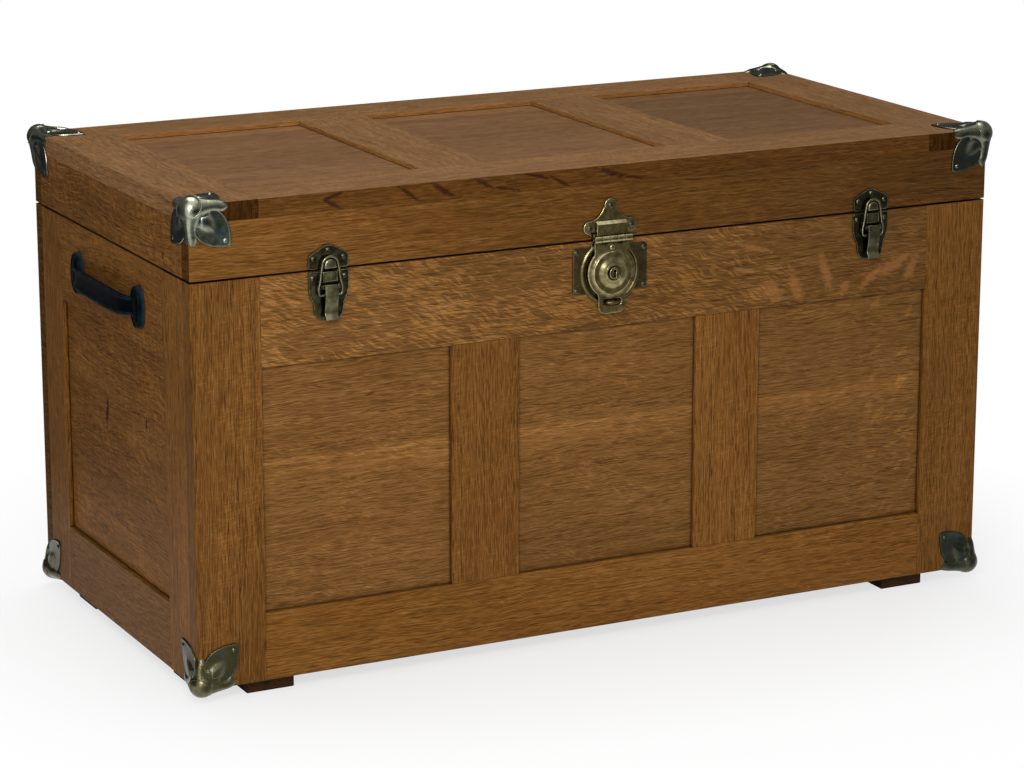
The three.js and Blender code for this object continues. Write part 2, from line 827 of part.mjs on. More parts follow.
// The three-lobed plate on the lid, with a raised box that carries the outer knuckles and the pin.
function haspMount() {
  const lobeTop = mountLobeHeight + mountLobeRadius;
  const shape = new THREE.Shape();
  shape.moveTo(-mountBoxHalfWidth, plateToGap);
  shape.lineTo(mountBoxHalfWidth, plateToGap);
  shape.lineTo(mountLobeSpread, mountLobeHeight - mountLobeRadius);
  shape.lineTo(mountLobeSpread, lobeTop);
  shape.quadraticCurveTo(mountWaistShare * mountLobeSpread, lobeTop, mountLobeRadius, mountHeight);
  shape.lineTo(-mountLobeRadius, mountHeight);
  shape.quadraticCurveTo(-mountWaistShare * mountLobeSpread, lobeTop, -mountLobeSpread, lobeTop);
  shape.lineTo(-mountLobeSpread, mountLobeHeight - mountLobeRadius);
  const screws = [
    [-mountLobeSpread, mountLobeHeight],
    [mountLobeSpread, mountLobeHeight],
    [0, mountHeight],
  ];
  const lobes = screws.map(([x, z]) => {
    const lobe = new THREE.Shape().absarc(x, z, mountLobeRadius, 0, 2 * Math.PI);
    return facePlate(lobe, mountPlate, seatGap);
  });
  const boxTopFront = mountBoxTop - mountBoxReach / 2;
  const box = sideProfile(
    outline([
      [-seatGap, mountBoxBottom],
      [-seatGap, mountBoxTop],
      [-mountBoxReach / 2, mountBoxTop],
      [-mountBoxReach, boxTopFront],
      [-mountBoxReach, mountBoxBottom],
    ]),
    mountBoxHalfWidth,
  );
  const { spans, rings, pinRod } = lockKnuckles(false);
  const tabs = spans.map(([start, end]) =>
    boxBetween([start, -haspBack - haspSheet, haspAxisRise], [end, -haspBack, mountBoxBottom + mountPlate]),
  );
  const barrel = [...rings, pinRod].map((rod) => rod.translate(0, -haspAxisReach, haspAxisRise));
  const nails = screws.map(([x, z]) => rivet(x, z, seatGap + mountPlate));
  return join(facePlate(shape, mountPlate, seatGap), ...lobes, box, ...tabs, ...barrel, ...nails);
}

// The hasp: a neck, a stepped and domed disc with the key's bore, and a tab with a slot for the staple.
function hasp() {
  const front = haspBack + haspSheet;
  const domeTop = front + haspDome;
  const bore = keyShank + runningGap;
  const disc = turned([
    [bore, haspBack],
    [haspDiscRadius, haspBack],
    [haspDiscRadius, haspBack + haspSheet / 2],
    [haspDiscRadius - haspSheet / 2, front],
    [haspRaisedRadius + haspStep / 2, front],
    [haspRaisedRadius, front + haspStep],
    [haspDomeShares.shoulder * haspRaisedRadius, front + haspDomeShares.shoulderRise * haspDome],
    [haspDomeShares.crown * haspRaisedRadius, front + haspDomeShares.crownRise * haspDome],
    [keyHead + haspStep, domeTop],
    [bore, domeTop],
    [bore, haspBack],
  ]);
  disc.translate(0, 0, -lockCentreDrop);
  const neck = outline([
    [-haspNeckHalfWidth, -lockCentreDrop],
    [haspNeckHalfWidth, -lockCentreDrop],
    [haspNeckHalfWidth, knuckleBottom],
    [-haspNeckHalfWidth, knuckleBottom],
  ]);
  const tabRound = haspTabHalfWidth - haspSlotHalfWidth;
  const tab = new THREE.Shape();
  tab.moveTo(-haspTabHalfWidth, -lockCentreDrop);
  tab.lineTo(-haspTabHalfWidth, tabRound - haspDrop);
  tab.quadraticCurveTo(-haspTabHalfWidth, -haspDrop, tabRound - haspTabHalfWidth, -haspDrop);
  tab.lineTo(haspTabHalfWidth - tabRound, -haspDrop);
  tab.quadraticCurveTo(haspTabHalfWidth, -haspDrop, haspTabHalfWidth, tabRound - haspDrop);
  tab.lineTo(haspTabHalfWidth, -lockCentreDrop);
  const plates = [neck, tab].map((shape) => facePlate(shape, haspSheet, haspBack));
  const { spans, rings, pinRod } = lockKnuckles(true);
  const tabs = spans.map(([start, end]) =>
    boxBetween([start, -front, knuckleBottom - haspSheet], [end, -haspBack, haspAxisRise]),
  );
  const barrel = [...rings, pinRod].map((rod) => rod.translate(0, -haspAxisReach, haspAxisRise));
  const slot = boxBetween(
    [-haspSlotHalfWidth, -front - cutOverrun, -stapleDrop - haspSlotHalfHeight],
    [haspSlotHalfWidth, cutOverrun - haspBack, -stapleDrop + haspSlotHalfHeight],
  );
  const keyBore = turned([
    [0, 0],
    [bore, 0],
    [bore, domeTop + cutOverrun],
    [0, domeTop + cutOverrun],
  ]);
  keyBore.translate(0, 0, -lockCentreDrop);
  const nail = rivet(0, knuckleBottom - 2 * rivetRadius, front);
  return cut(join(disc, ...plates, ...tabs, ...barrel.slice(0, -1), nail), barrel.at(-1), slot, keyBore);
}

// The key plug turns in the hasp's bore. Its head stands on the dome and holds the keyhole.
function keyPlug() {
  const domeTop = haspBack + haspSheet + haspDome;
  const headBack = domeTop + runningGap;
  const headFront = headBack + keyHeadHeight;
  const plug = turned([
    [0, haspBack],
    [keyShank, haspBack],
    [keyShank, headBack],
    [keyHead, headBack],
    [keyHead, headFront - keyHeadHeight / 2],
    [keyHead - keyHeadHeight / 2, headFront],
    [0, headFront],
  ]);
  const keyhole = boxBetween(
    [-keyholeHalfWidth, -headFront - cutOverrun, -keyholeHalfHeight],
    [keyholeHalfWidth, keyholeDepth - headFront, keyholeHalfHeight],
  );
  return cut(plug, keyhole);
}

// The plate on the body: a square with a raised ring around the hasp's disc, and the staple below it.
function lockBackPlate() {
  const square = boxBetween(
    [-lockPlateHalfWidth, -lockPlate - seatGap, -lockPlateBottom],
    [lockPlateHalfWidth, -seatGap, -lockPlateTop],
  );
  const round = new THREE.Shape().absarc(0, -lockCentreDrop, lockRingRadius, 0, 2 * Math.PI);
  const ringMiddle = (lockRingRadius + lockRingInnerRadius) / 2;
  const ring = turned([
    [lockRingInnerRadius, seatGap],
    [lockRingRadius, seatGap],
    [ringMiddle, lockRingHeight],
    [lockRingInnerRadius, lockRingHeight / 2],
    [lockRingInnerRadius, seatGap],
  ]);
  ring.translate(0, 0, -lockCentreDrop);
  const arms = [-1, 1].map((side) => {
    const arm = new THREE.CylinderGeometry(stapleWire, stapleWire, stapleReach - seatGap, rivetSteps);
    const across = side * (stapleHalfWidth - stapleWire);
    return arm.translate(across, -(stapleReach + seatGap) / 2, -stapleDrop);
  });
  const half = stapleHalfWidth;
  const bar = rodAlongX(stapleWire, -half, half, -stapleReach, -stapleDrop, rivetSteps);
  const nailPlaces = [-lockPlateTop - lockScrewInset, -lockPlateBottom + lockScrewInset];
  const nails = nailPlaces.flatMap((z) =>
    [-1, 1].map((side) => rivet(side * lockScrewSpread, z, seatGap + lockPlate)),
  );
  const aboveHinge = boxBetween(
    [-lockRingRadius, -lockRingHeight - cutOverrun, knuckleBottom],
    [lockRingRadius, cutOverrun, cutOverrun],
  );
  const roundPlate = facePlate(round, lockPlate, seatGap, roundSteps / 2);
  return cut(join(square, roundPlate, ring, ...arms, bar, ...nails), aboveHinge);
}

function addLock(groups) {
  const place = new THREE.Vector3(0, frontFace, gapMiddle);
  piece("lock_back_plate", lockBackPlate(), "darkBrass", groups.body).position.copy(place);
  piece("hasp_mount", haspMount(), "antiqueBrass", groups.lid).position.copy(place);
  piece("hasp", hasp(), "antiqueBrass", groups.lid).position.copy(place);
  const plug = piece("key_plug", keyPlug(), "antiqueBrass", groups.lid);
  plug.position.copy(place).add(new THREE.Vector3(0, 0, -lockCentreDrop));
}

// The hinge along the back, drawn about its pin: X along it, Y backwards, the leaves towards the chest

function hingeHalf(onLid) {
  const leafOuter = lidGap / 2 - glueLine;
  const leafInner = leafOuter - hingeLeaf;
  const low = onLid ? leafInner : -leafOuter;
  const high = onLid ? leafOuter : -leafInner;
  const leaf = boxBetween(
    [-hingeLength / 2, -hingeStandOff - hingeLeafWidth, low],
    [hingeLength / 2, -hingeStandOff, high],
  );
  const { spans, rings, pinRod } = knuckles({
    length: hingeLength,
    count: hingeKnuckleCount,
    radius: hingeKnuckleRadius,
    pin: hingePin,
    bored: onLid,
    steps: hingeSteps,
  });
  const tabs = spans.map(([start, end]) =>
    boxBetween([start, -hingeStandOff - hingeLeaf, low], [end, 0, high]),
  );
  const whole = join(leaf, ...tabs, ...rings);
  return onLid ? cut(whole, pinRod) : join(whole, pinRod);
}

function addHinge(body, lid) {
  const place = new THREE.Vector3(0, backFace + hingeStandOff, gapMiddle);
  piece("hinge_body_leaf", hingeHalf(false), "hingeBrass", body).position.copy(place);
  piece("hinge_lid_leaf", hingeHalf(true), "hingeBrass", lid).position.copy(place);
}

// Side handles: a bowed grip with a bead along each edge, cast in one with an oval pad at each end

function handle() {
  const padX = handleSpread / 2;
  const bow = handleBowShares.map(([along, out]) => [along * padX, -out * handleGripReach]);
  const centreLine = [...bow, ...bow.slice(0, -1).map(([x, y]) => [-x, y]).reverse()];
  const grip = new THREE.ExtrudeGeometry(ribbon(centreLine, handleGripThickness, handleBowSteps), {
    depth: handleGripHeight,
    bevelEnabled: false,
  });
  grip.translate(0, 0, -handleGripHeight / 2);
  const beads = [-1, 1].map((side) => {
    const thickness = handleGripThickness + 2 * handleBeadRise;
    const bead = new THREE.ExtrudeGeometry(ribbon(centreLine, thickness, handleBowSteps), {
      depth: handleBeadHeight,
      bevelEnabled: false,
    });
    const middle = (side * (handleGripHeight - handleBeadHeight)) / 2;
    return bead.translate(0, 0, middle - handleBeadHeight / 2);
  });
  const pads = [-1, 1].map((side) => {
    const pad = new THREE.SphereGeometry(1, 2 * rivetSteps, rivetSteps);
    pad.scale(handlePadWidth / 2, handlePadReach, handlePadHeight / 2);
    return pad.translate(side * padX, 0, 0);
  });
  const wall = boxBetween(
    [-handleSpread, -seatGap, -handlePadHeight],
    [handleSpread, handlePadReach + cutOverrun, handlePadHeight],
  );
  return cut(join(grip, ...beads, ...pads), wall);
}

function addHandles(body) {
  [-1, 1].forEach((side) => {
    const mesh = piece(side < 0 ? "left_handle" : "right_handle", handle(), "blackIron", body);
    mesh.position.set(side * rightFace, 0, bodyTop - handleDrop);
    mesh.rotation.z = (side * Math.PI) / 2;
  });
}

const chest = new THREE.Group();
const groups = { body: new THREE.Group(), lid: new THREE.Group() };
chest.add(groups.body, groups.lid);
addBody(groups.body);
addLid(groups.lid);
addClamps(groups.body, groups.lid);
addDrawBolts(groups);
addLock(groups);
addHinge(groups.body, groups.lid);
addHandles(groups.body);

const reach = new THREE.Box3().setFromObject(chest);
chest.position.y = -(reach.min.y + reach.max.y) / 2;

export default chest;
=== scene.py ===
"""A sea chest of stained oak with brass fittings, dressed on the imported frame.

Sizes in the classes are millimetres. The scene itself is in metres, +Z up, and the front faces -Y.
"""

import logging
import math
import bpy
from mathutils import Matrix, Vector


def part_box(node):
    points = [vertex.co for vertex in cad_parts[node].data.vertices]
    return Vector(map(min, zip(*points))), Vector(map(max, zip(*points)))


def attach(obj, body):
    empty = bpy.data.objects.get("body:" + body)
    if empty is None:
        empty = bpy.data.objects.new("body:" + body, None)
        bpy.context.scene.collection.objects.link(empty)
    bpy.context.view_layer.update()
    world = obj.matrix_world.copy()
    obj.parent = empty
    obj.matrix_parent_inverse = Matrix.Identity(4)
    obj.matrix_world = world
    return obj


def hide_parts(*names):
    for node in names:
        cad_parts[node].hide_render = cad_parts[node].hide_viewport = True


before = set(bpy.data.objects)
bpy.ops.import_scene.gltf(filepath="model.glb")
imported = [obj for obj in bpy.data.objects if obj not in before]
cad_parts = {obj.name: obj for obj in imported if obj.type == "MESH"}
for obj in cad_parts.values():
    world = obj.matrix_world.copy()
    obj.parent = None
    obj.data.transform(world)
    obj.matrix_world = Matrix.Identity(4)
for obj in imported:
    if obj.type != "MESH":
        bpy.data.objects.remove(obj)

import zlib
from dataclasses import dataclass, field, replace
from enum import Enum
from typing import Any, Callable, Iterable, Sequence

import bmesh
import bpy
from bmesh.types import BMesh
from bpy.types import Material, Mesh, NodeSocket, NodeTree, Object
from mathutils import Matrix, Vector
from mathutils.bvhtree import BVHTree

log = logging.getLogger("sea_chest")

MM = 0.001
WHITE = (1.0, 1.0, 1.0, 1.0)
TURNS = [math.radians(45 * step) for step in range(9)]
Point = tuple[float, float]

# Drawing planes: U, V and outwards become these directions of the chest.
UPRIGHT = Matrix.Identity(4)
FRONT = Matrix(((1, 0, 0), (0, 0, -1), (0, 1, 0))).to_4x4()
ACROSS = Matrix(((0, 0, 1), (1, 0, 0), (0, 1, 0))).to_4x4()


def linear(code: str) -> tuple[float, float, float, float]:
    """Turns an sRGB hex colour into linear red, green and blue with alpha 1."""
    shares = [int(code[at : at + 2], 16) / 255 for at in (1, 3, 5)]
    return (*(c / 12.92 if c <= 0.04045 else ((c + 0.055) / 1.055) ** 2.4 for c in shares), 1.0)


def add_node(
    tree: NodeTree,
    kind: str,
    inputs: dict[Any, Any] | None = None,
    ramp: Sequence[tuple[float, Any]] = (),
    **settings: Any,
) -> NodeSocket:
    """Adds a node with its settings and links.

    Args:
        tree: the material's node tree.
        kind: the node's type name.
        inputs: socket name or number to a value, or to the socket that feeds it.
        ramp: stops of a colour ramp, each a place and a colour.
        settings: the node's own properties.

    Returns:
        The node's first enabled output.
    """
    node = tree.nodes.new(kind)
    for name, value in settings.items():
        setattr(node, name, value)
    for key, value in (inputs or {}).items():
        named = [s for s in node.inputs if s.enabled and s.name == key]
        socket = named[0] if named else node.inputs[key]
        if isinstance(value, NodeSocket):
            tree.links.new(value, socket)
        else:
            socket.default_value = value
    if ramp:
        stops = node.color_ramp.elements
        while len(stops) < len(ramp):
            stops.new(1.0)
        for stop, (place, colour) in zip(stops, ramp):
            stop.position = place
            stop.color = linear(colour) if isinstance(colour, str) else (colour, colour, colour, 1.0)
    return next((s for s in node.outputs if s.enabled), None)


def blank_material(name: str) -> tuple[Material, NodeTree]:
    """A material with an empty node tree.

    Args:
        name: the material's name.

    Returns:
        The material and its nodes.
    """
    material = bpy.data.materials.new(name)
    material.use_nodes = True
    material.node_tree.nodes.clear()
    return material, material.node_tree


def close_material(tree: NodeTree, inputs: dict[str, Any]) -> None:
    """Ends a node tree in one surface shader with these inputs."""
    shader = add_node(tree, "ShaderNodeBsdfPrincipled", inputs)
    add_node(tree, "ShaderNodeOutputMaterial", {"Surface": shader})


# Finishes


@dataclass(frozen=True)
class Mark:
    """A dark or pale mark in the wood: a place on the board, a size in mm and a slant in degrees."""

    along: float
    across: float
    half_length: float
    half_width: float
    slant: float = 0.0


@dataclass(frozen=True)
class RayFleck:
    """Medullary ray fleck: paler strokes where the saw ran along the rays, which crowd in places.

    Lengths are millimetres; turn is the strokes' angle to the grain in degrees. Where a span is
    given, the strokes keep to that stretch of the board.
    """

    share: float
    turn: float
    length: float
    width: float
    gain: float = 0.5
    span: tuple[float, float] | None = None


@dataclass(frozen=True)
class StainedOak:
    """Quarter-sawn white oak, planed, stained brown and varnished to a satin.

    The eye sees fine dark pores drawn out along the grain, faint growth bands, and paler wavy
    flecks where the saw ran along the wood's rays. Sizes are millimetres. The board's tone falls to a
    set share one metre along, a painted shade of the light falling off away from the lamp; strips keep
    edges that waver, and the sawn ends show rays of ray_size and take end_tone and end_gloss of the
    faces' levels. Near corners where boards and fittings meet the wood darkens, partly gathered stain
    and wax and partly painted shade.
    """

    name: str
    dark: str = "#5c3a12"
    middle: str = "#764c1c"
    light: str = "#8d6332"
    pore: str = "#3a2208"
    fibre_length: float = 14.0
    fibre_width: float = 1.0
    pore_length: float = 22.0
    pore_width: float = 0.85
    pore_depth: float = 0.78
    growth_width: float = 8.0
    wander: float = 4.0
    flecks: tuple[RayFleck, ...] = ()
    strips: tuple[tuple[float, float], ...] = ()
    strip_span: float = 309.4
    marks: tuple[Mark, ...] = ()
    mark_tone: str = "#311606"
    mark_depth: float = 0.88
    # Painted shade: the colour falls off along the board, as the lamp's light falls off.
    far_end_shade: float = 1.0
    # Reach of the corner darkening, partly gathered stain and wax and partly painted shade.
    crease_stain_and_shade: float = 3.5
    waver: float = 16.0
    ray_size: tuple[float, float, float] = (5.0, 2.0, 25.0)
    roughness: float = 0.52
    gloss: float = 0.07
    end_tone: float = 0.6
    end_gloss: float = 0.3
    on_edge: bool = False

    def noise(self, tree: NodeTree, place: Any, along: float, across: float, detail: float) -> Any:
        """Noise whose features are about as long and wide as given, in mm.

        Args:
            tree: the material's nodes.
            place: where the pattern is read, in mm along and across the grain.
            along: the pattern's size along the grain, in mm.
            across: its size across the grain, in mm.
            detail: how many finer layers it has.

        Returns:
            The noise's value.
        """
        per_mm = (1 / along, 1 / across, 1 / across)
        at = add_node(tree, "ShaderNodeVectorMath", {0: place, 1: per_mm}, operation="MULTIPLY")
        return add_node(
            tree, "ShaderNodeTexNoise", {"Vector": at, "Scale": 1.0, "Detail": detail, "Roughness": 0.6}
        )

    def grain_place(self, tree: NodeTree) -> Any:
        """The board's own coordinates, far from every other board's: along, across and into it, in mm."""
        return add_node(tree, "ShaderNodeAttribute", attribute_name="grain_place").node.outputs["Vector"]

    def bent_place(self, tree: NodeTree) -> Any:
        """The grain coordinates with the slow wander of a grown trunk and a short ripple.

        Args:
            tree: the material's nodes.

        Returns:
            The place, pushed aside as the fibres wander.
        """
        place = self.grain_place(tree)
        wave = self.noise(tree, place, 260, 70, 1.0)
        ripple = self.noise(tree, place, 36, 22, 1.0)
        both = add_node(tree, "ShaderNodeMath", {0: ripple, 1: 0.2, 2: wave}, operation="MULTIPLY_ADD")
        shift = add_node(tree, "ShaderNodeMath", {0: both, 1: 4 * self.wander}, operation="MULTIPLY")
        push = add_node(tree, "ShaderNodeCombineXYZ", {"Y": shift})
        return add_node(tree, "ShaderNodeVectorMath", {0: place, 1: push}, operation="ADD")

    def pores(self, tree: NodeTree, place: Any) -> Any:
        """A mask of the open pores, dark dashes that crowd into the early wood of each year.

        Args:
            tree: the material's nodes.
            place: where the pattern is read, in mm along and across the grain.

        Returns:
            How dark the pores make each place, 0 to 1.
        """
        dash = self.noise(tree, place, self.pore_length, self.pore_width, 1.0)
        dash = add_node(tree, "ShaderNodeValToRGB", {"Fac": dash}, ((0.53, 0.0), (0.64, 1.0)))
        year = self.noise(tree, place, 900, self.growth_width / 1.6, 1.0)
        year = add_node(tree, "ShaderNodeValToRGB", {"Fac": year}, ((0.36, 0.3), (0.6, 1.0)))
        return add_node(tree, "ShaderNodeMath", {0: dash, 1: year}, operation="MULTIPLY")

    def tone(self, tree: NodeTree, place: Any) -> Any:
        """The tone of the wood, from 0 to 1: growth bands, broad clouds and fine fibre.

        Args:
            tree: the material's nodes.
            place: where the pattern is read, in mm along and across the grain.

        Returns:
            The tone's value, 0 for the darkest wood and 1 for the lightest.
        """
        total: Any = 0.0
        for along, across, share in (
            (600, self.growth_width, 0.1),
            (380, 70, 0.12),
            (3.6 * self.fibre_length, 1.1 * self.fibre_width, 0.38),
            (self.fibre_length, self.fibre_width, 0.4),
        ):
            part = self.noise(tree, place, along, across, 2.5)
            total = add_node(tree, "ShaderNodeMath", {0: part, 1: share, 2: total}, operation="MULTIPLY_ADD")
        return total

    def fleck_mask(self, tree: NodeTree, board: Any, fleck: RayFleck) -> Any:
        """1 on a fleck and 0 between, crowded in some places and absent in others.

        Args:
            tree: the material's nodes.
            board: the board's own coordinates, in mm from its corner.
            fleck: the strokes' size, slant and crowding.

        Returns:
            The mask's value.
        """
        place = self.grain_place(tree)
        warp = self.noise(tree, place, 2.4 * fleck.length, 1.2 * fleck.length, 1.0)
        warp = add_node(tree, "ShaderNodeMath", {0: warp, 1: 1.1 * fleck.length}, operation="MULTIPLY")
        push = add_node(tree, "ShaderNodeCombineXYZ", {"Y": warp})
        bent = add_node(tree, "ShaderNodeVectorMath", {0: place, 1: push}, operation="ADD")
        turned = add_node(
            tree,
            "ShaderNodeVectorRotate",
            {"Vector": bent, "Angle": math.radians(-fleck.turn)},
            rotation_type="Z_AXIS",
        )
        stroke = self.noise(tree, turned, fleck.length, fleck.width, 1.0)
        crowd = self.noise(tree, place, 110, 55, 1.0)
        both = add_node(tree, "ShaderNodeMath", {0: crowd, 1: 0.5, 2: stroke}, operation="MULTIPLY_ADD")
        start = 0.98 - 0.25 * fleck.share
        mask = add_node(
            tree,
            "ShaderNodeMapRange",
            {"Value": both, "From Min": start - 0.05, "From Max": start + 0.04},
            interpolation_type="SMOOTHSTEP",
        )
        if fleck.span is None:
            return mask
        low, high = fleck.span
        along = add_node(tree, "ShaderNodeSeparateXYZ", {"Vector": board})
        away = add_node(tree, "ShaderNodeMath", {0: along, 1: (low + high) / 2}, operation="SUBTRACT")
        away = add_node(tree, "ShaderNodeMath", {0: away}, operation="ABSOLUTE")
        half = (high - low) / 2
        near = add_node(
            tree,
            "ShaderNodeMapRange",
            {"Value": away, "From Min": half, "From Max": 0.7 * half},
            interpolation_type="SMOOTHSTEP",
        )
        return add_node(tree, "ShaderNodeMath", {0: mask, 1: near}, operation="MULTIPLY")

    def mark_mask(self, tree: NodeTree, board: Any, mark: Mark) -> Any:
        """1 inside a dark or pale mark, frayed at its edge, and 0 well outside it.

        Args:
            tree: the material's nodes.
            board: the board's own coordinates, in mm from its corner.
            mark: the mark's place, size and slant.

        Returns:
            The mask's value.
        """
        fray = self.noise(tree, self.grain_place(tree), 7, 5, 1.0)
        offset = add_node(
            tree, "ShaderNodeVectorMath", {0: board, 1: (mark.along, mark.across, 0.0)}, operation="SUBTRACT"
        )
        turned = add_node(
            tree,
            "ShaderNodeVectorRotate",
            {"Vector": offset, "Angle": math.radians(-mark.slant)},
            rotation_type="Z_AXIS",
        )
        scaled = add_node(
            tree,
            "ShaderNodeVectorMath",
            {0: turned, 1: (1 / mark.half_length, 1 / mark.half_width, 0.0)},
            operation="MULTIPLY",
        )
        reach = add_node(tree, "ShaderNodeVectorMath", {0: scaled}, operation="LENGTH")
        reach = reach.node.outputs["Value"]
        reach = add_node(tree, "ShaderNodeMath", {0: fray, 1: 1.6, 2: reach}, operation="MULTIPLY_ADD")
        return add_node(
            tree,
            "ShaderNodeMapRange",
            {"Value": reach, "From Min": 2.1, "From Max": 1.2},
            interpolation_type="SMOOTHSTEP",
        )

    def strip_tone(self, tree: NodeTree, board: Any) -> Any:
        """How light the wood is at each place across the board, with edges that waver.

        Args:
            tree: the material's nodes.
            board: the board's own coordinates, in mm from its corner.

        Returns:
            The level that the colour is multiplied by.
        """
        across = add_node(tree, "ShaderNodeSeparateXYZ", {"Vector": board}).node.outputs["Y"]
        ripple = self.noise(tree, self.grain_place(tree), 140, 16, 3.0)
        across = add_node(
            tree, "ShaderNodeMath", {0: ripple, 1: self.waver, 2: across}, operation="MULTIPLY_ADD"
        )
        share = add_node(tree, "ShaderNodeMath", {0: across, 1: self.waver / 2}, operation="SUBTRACT")
        share = add_node(tree, "ShaderNodeMath", {0: share, 1: 1 / self.strip_span}, operation="MULTIPLY")
        stops = tuple((stop, level / 2) for stop, level in self.strips)
        strip = add_node(tree, "ShaderNodeValToRGB", {"Fac": share}, stops)
        return add_node(tree, "ShaderNodeMath", {0: strip, 1: 2.0}, operation="MULTIPLY")

    def toned(self, tree: NodeTree, colour: Any, levels: Iterable[Any]) -> Any:
        """A colour made lighter or darker by one level after another.

        Args:
            tree: the material's nodes.
            colour: the colour to start from.
            levels: what it is multiplied by, each in turn.

        Returns:
            The toned colour.
        """
        for level in levels:
            colour = add_node(tree, "ShaderNodeVectorMath", {0: colour, "Scale": level}, operation="SCALE")
        return colour

    def hatching(self, tree: NodeTree) -> Any:
        """The rays on a sawn end, close dark lines through the board's thickness.

        Args:
            tree: the material's nodes.

        Returns:
            The level that the colour is multiplied by.
        """
        per_mm = tuple(1 / size for size in self.ray_size)
        place = self.grain_place(tree)
        ray = add_node(tree, "ShaderNodeVectorMath", {0: place, 1: per_mm}, operation="MULTIPLY")
        ray = add_node(tree, "ShaderNodeTexNoise", {"Vector": ray, "Scale": 1.0, "Detail": 1.0})
        return add_node(
            tree,
            "ShaderNodeMapRange",
            {"Value": ray, "From Min": 0.38, "From Max": 0.58, "To Min": 0.5, "To Max": 0.95},
        )

    def crease_stain_and_shade_tone(self, tree: NodeTree) -> Any:
        """Darkens the wood where boards and fittings meet: partly stain and wax gathered there, partly
        painted shade.

        Args:
            tree: the material's nodes.

        Returns:
            The level that the colour is multiplied by.
        """
        open_air = add_node(
            tree, "ShaderNodeAmbientOcclusion", {"Distance": self.crease_stain_and_shade * MM}, samples=6
        ).node.outputs["AO"]
        return add_node(
            tree, "ShaderNodeMapRange", {"Value": open_air, "From Min": 0.45, "From Max": 0.92, "To Min": 0.2}
        )

    def material(self, end_grain: bool = False) -> Material:
        """Builds the material of the boards' faces, or of their sawn ends.

        Args:
            end_grain: sawn ends drink more stain, so they come out darker and have no fleck.

        Returns:
            The material.
        """
        material, tree = blank_material(f"{self.name}_end_grain" if end_grain else self.name)
        place = self.bent_place(tree)
        board = add_node(tree, "ShaderNodeAttribute", attribute_name="board_place")
        board = board.node.outputs["Vector"]
        if self.on_edge:
            turned = add_node(tree, "ShaderNodeSeparateXYZ", {"Vector": board}).node.outputs
            board = add_node(tree, "ShaderNodeCombineXYZ", {"X": turned["X"], "Y": turned["Z"]})
        tone = self.tone(tree, place)
        wood = add_node(
            tree,
            "ShaderNodeValToRGB",
            {"Fac": tone},
            ((0.4, self.dark), (0.5, self.middle), (0.62, self.light)),
        )
        pores = self.pores(tree, place)
        depth = add_node(tree, "ShaderNodeMath", {0: pores, 1: self.pore_depth}, operation="MULTIPLY")
        wood = add_node(
            tree, "ShaderNodeMix", {"Factor": depth, "A": wood, "B": linear(self.pore)}, data_type="RGBA"
        )
        levels = [self.hatching(tree)] if end_grain else []
        for fleck in () if end_grain else self.flecks:
            mask = self.fleck_mask(tree, board, fleck)
            levels.append(
                add_node(tree, "ShaderNodeMath", {0: mask, 1: fleck.gain, 2: 1.0}, operation="MULTIPLY_ADD")
            )
        if self.strips:
            levels.append(self.strip_tone(tree, board))
        wood = self.toned(tree, wood, levels)
        for mark in self.marks:
            dark = self.mark_mask(tree, board, mark)
            dark = add_node(tree, "ShaderNodeMath", {0: dark, 1: self.mark_depth}, operation="MULTIPLY")
            wood = add_node(
                tree,
                "ShaderNodeMix",
                {"Factor": dark, "A": wood, "B": linear(self.mark_tone)},
                data_type="RGBA",
            )
        tint = add_node(tree, "ShaderNodeAttribute", attribute_name="board_tone").node.outputs["Fac"]
        gloss = self.gloss
        if end_grain:
            tint = add_node(tree, "ShaderNodeMath", {0: tint, 1: self.end_tone}, operation="MULTIPLY")
            gloss *= self.end_gloss
        levels = [tint]
        # Painted shade: the board darkens along its length, away from the lamp.
        if self.far_end_shade != 1.0:
            along = add_node(tree, "ShaderNodeSeparateXYZ", {"Vector": board})
            levels.append(
                add_node(
                    tree,
                    "ShaderNodeMapRange",
                    {"Value": along, "From Max": 1 / MM, "To Min": 1.0, "To Max": self.far_end_shade},
                )
            )
        # Partly gathered stain, partly painted shade: the wood darkens where ambient occlusion is low.
        wood = self.toned(tree, wood, [*levels, self.crease_stain_and_shade_tone(tree)])
        relief = add_node(tree, "ShaderNodeMath", {0: pores, 1: -1.0, 2: tone}, operation="MULTIPLY_ADD")
        bump = add_node(tree, "ShaderNodeBump", {"Height": relief, "Strength": 0.16, "Distance": 0.3 * MM})
        rough = add_node(
            tree,
            "ShaderNodeMapRange",
            {"Value": tone, "To Min": self.roughness + 0.1, "To Max": self.roughness - 0.06},
        )
        close_material(
            tree,
            {"Base Color": wood, "Roughness": rough, "Specular IOR Level": gloss, "Normal": bump},
        )
        return material


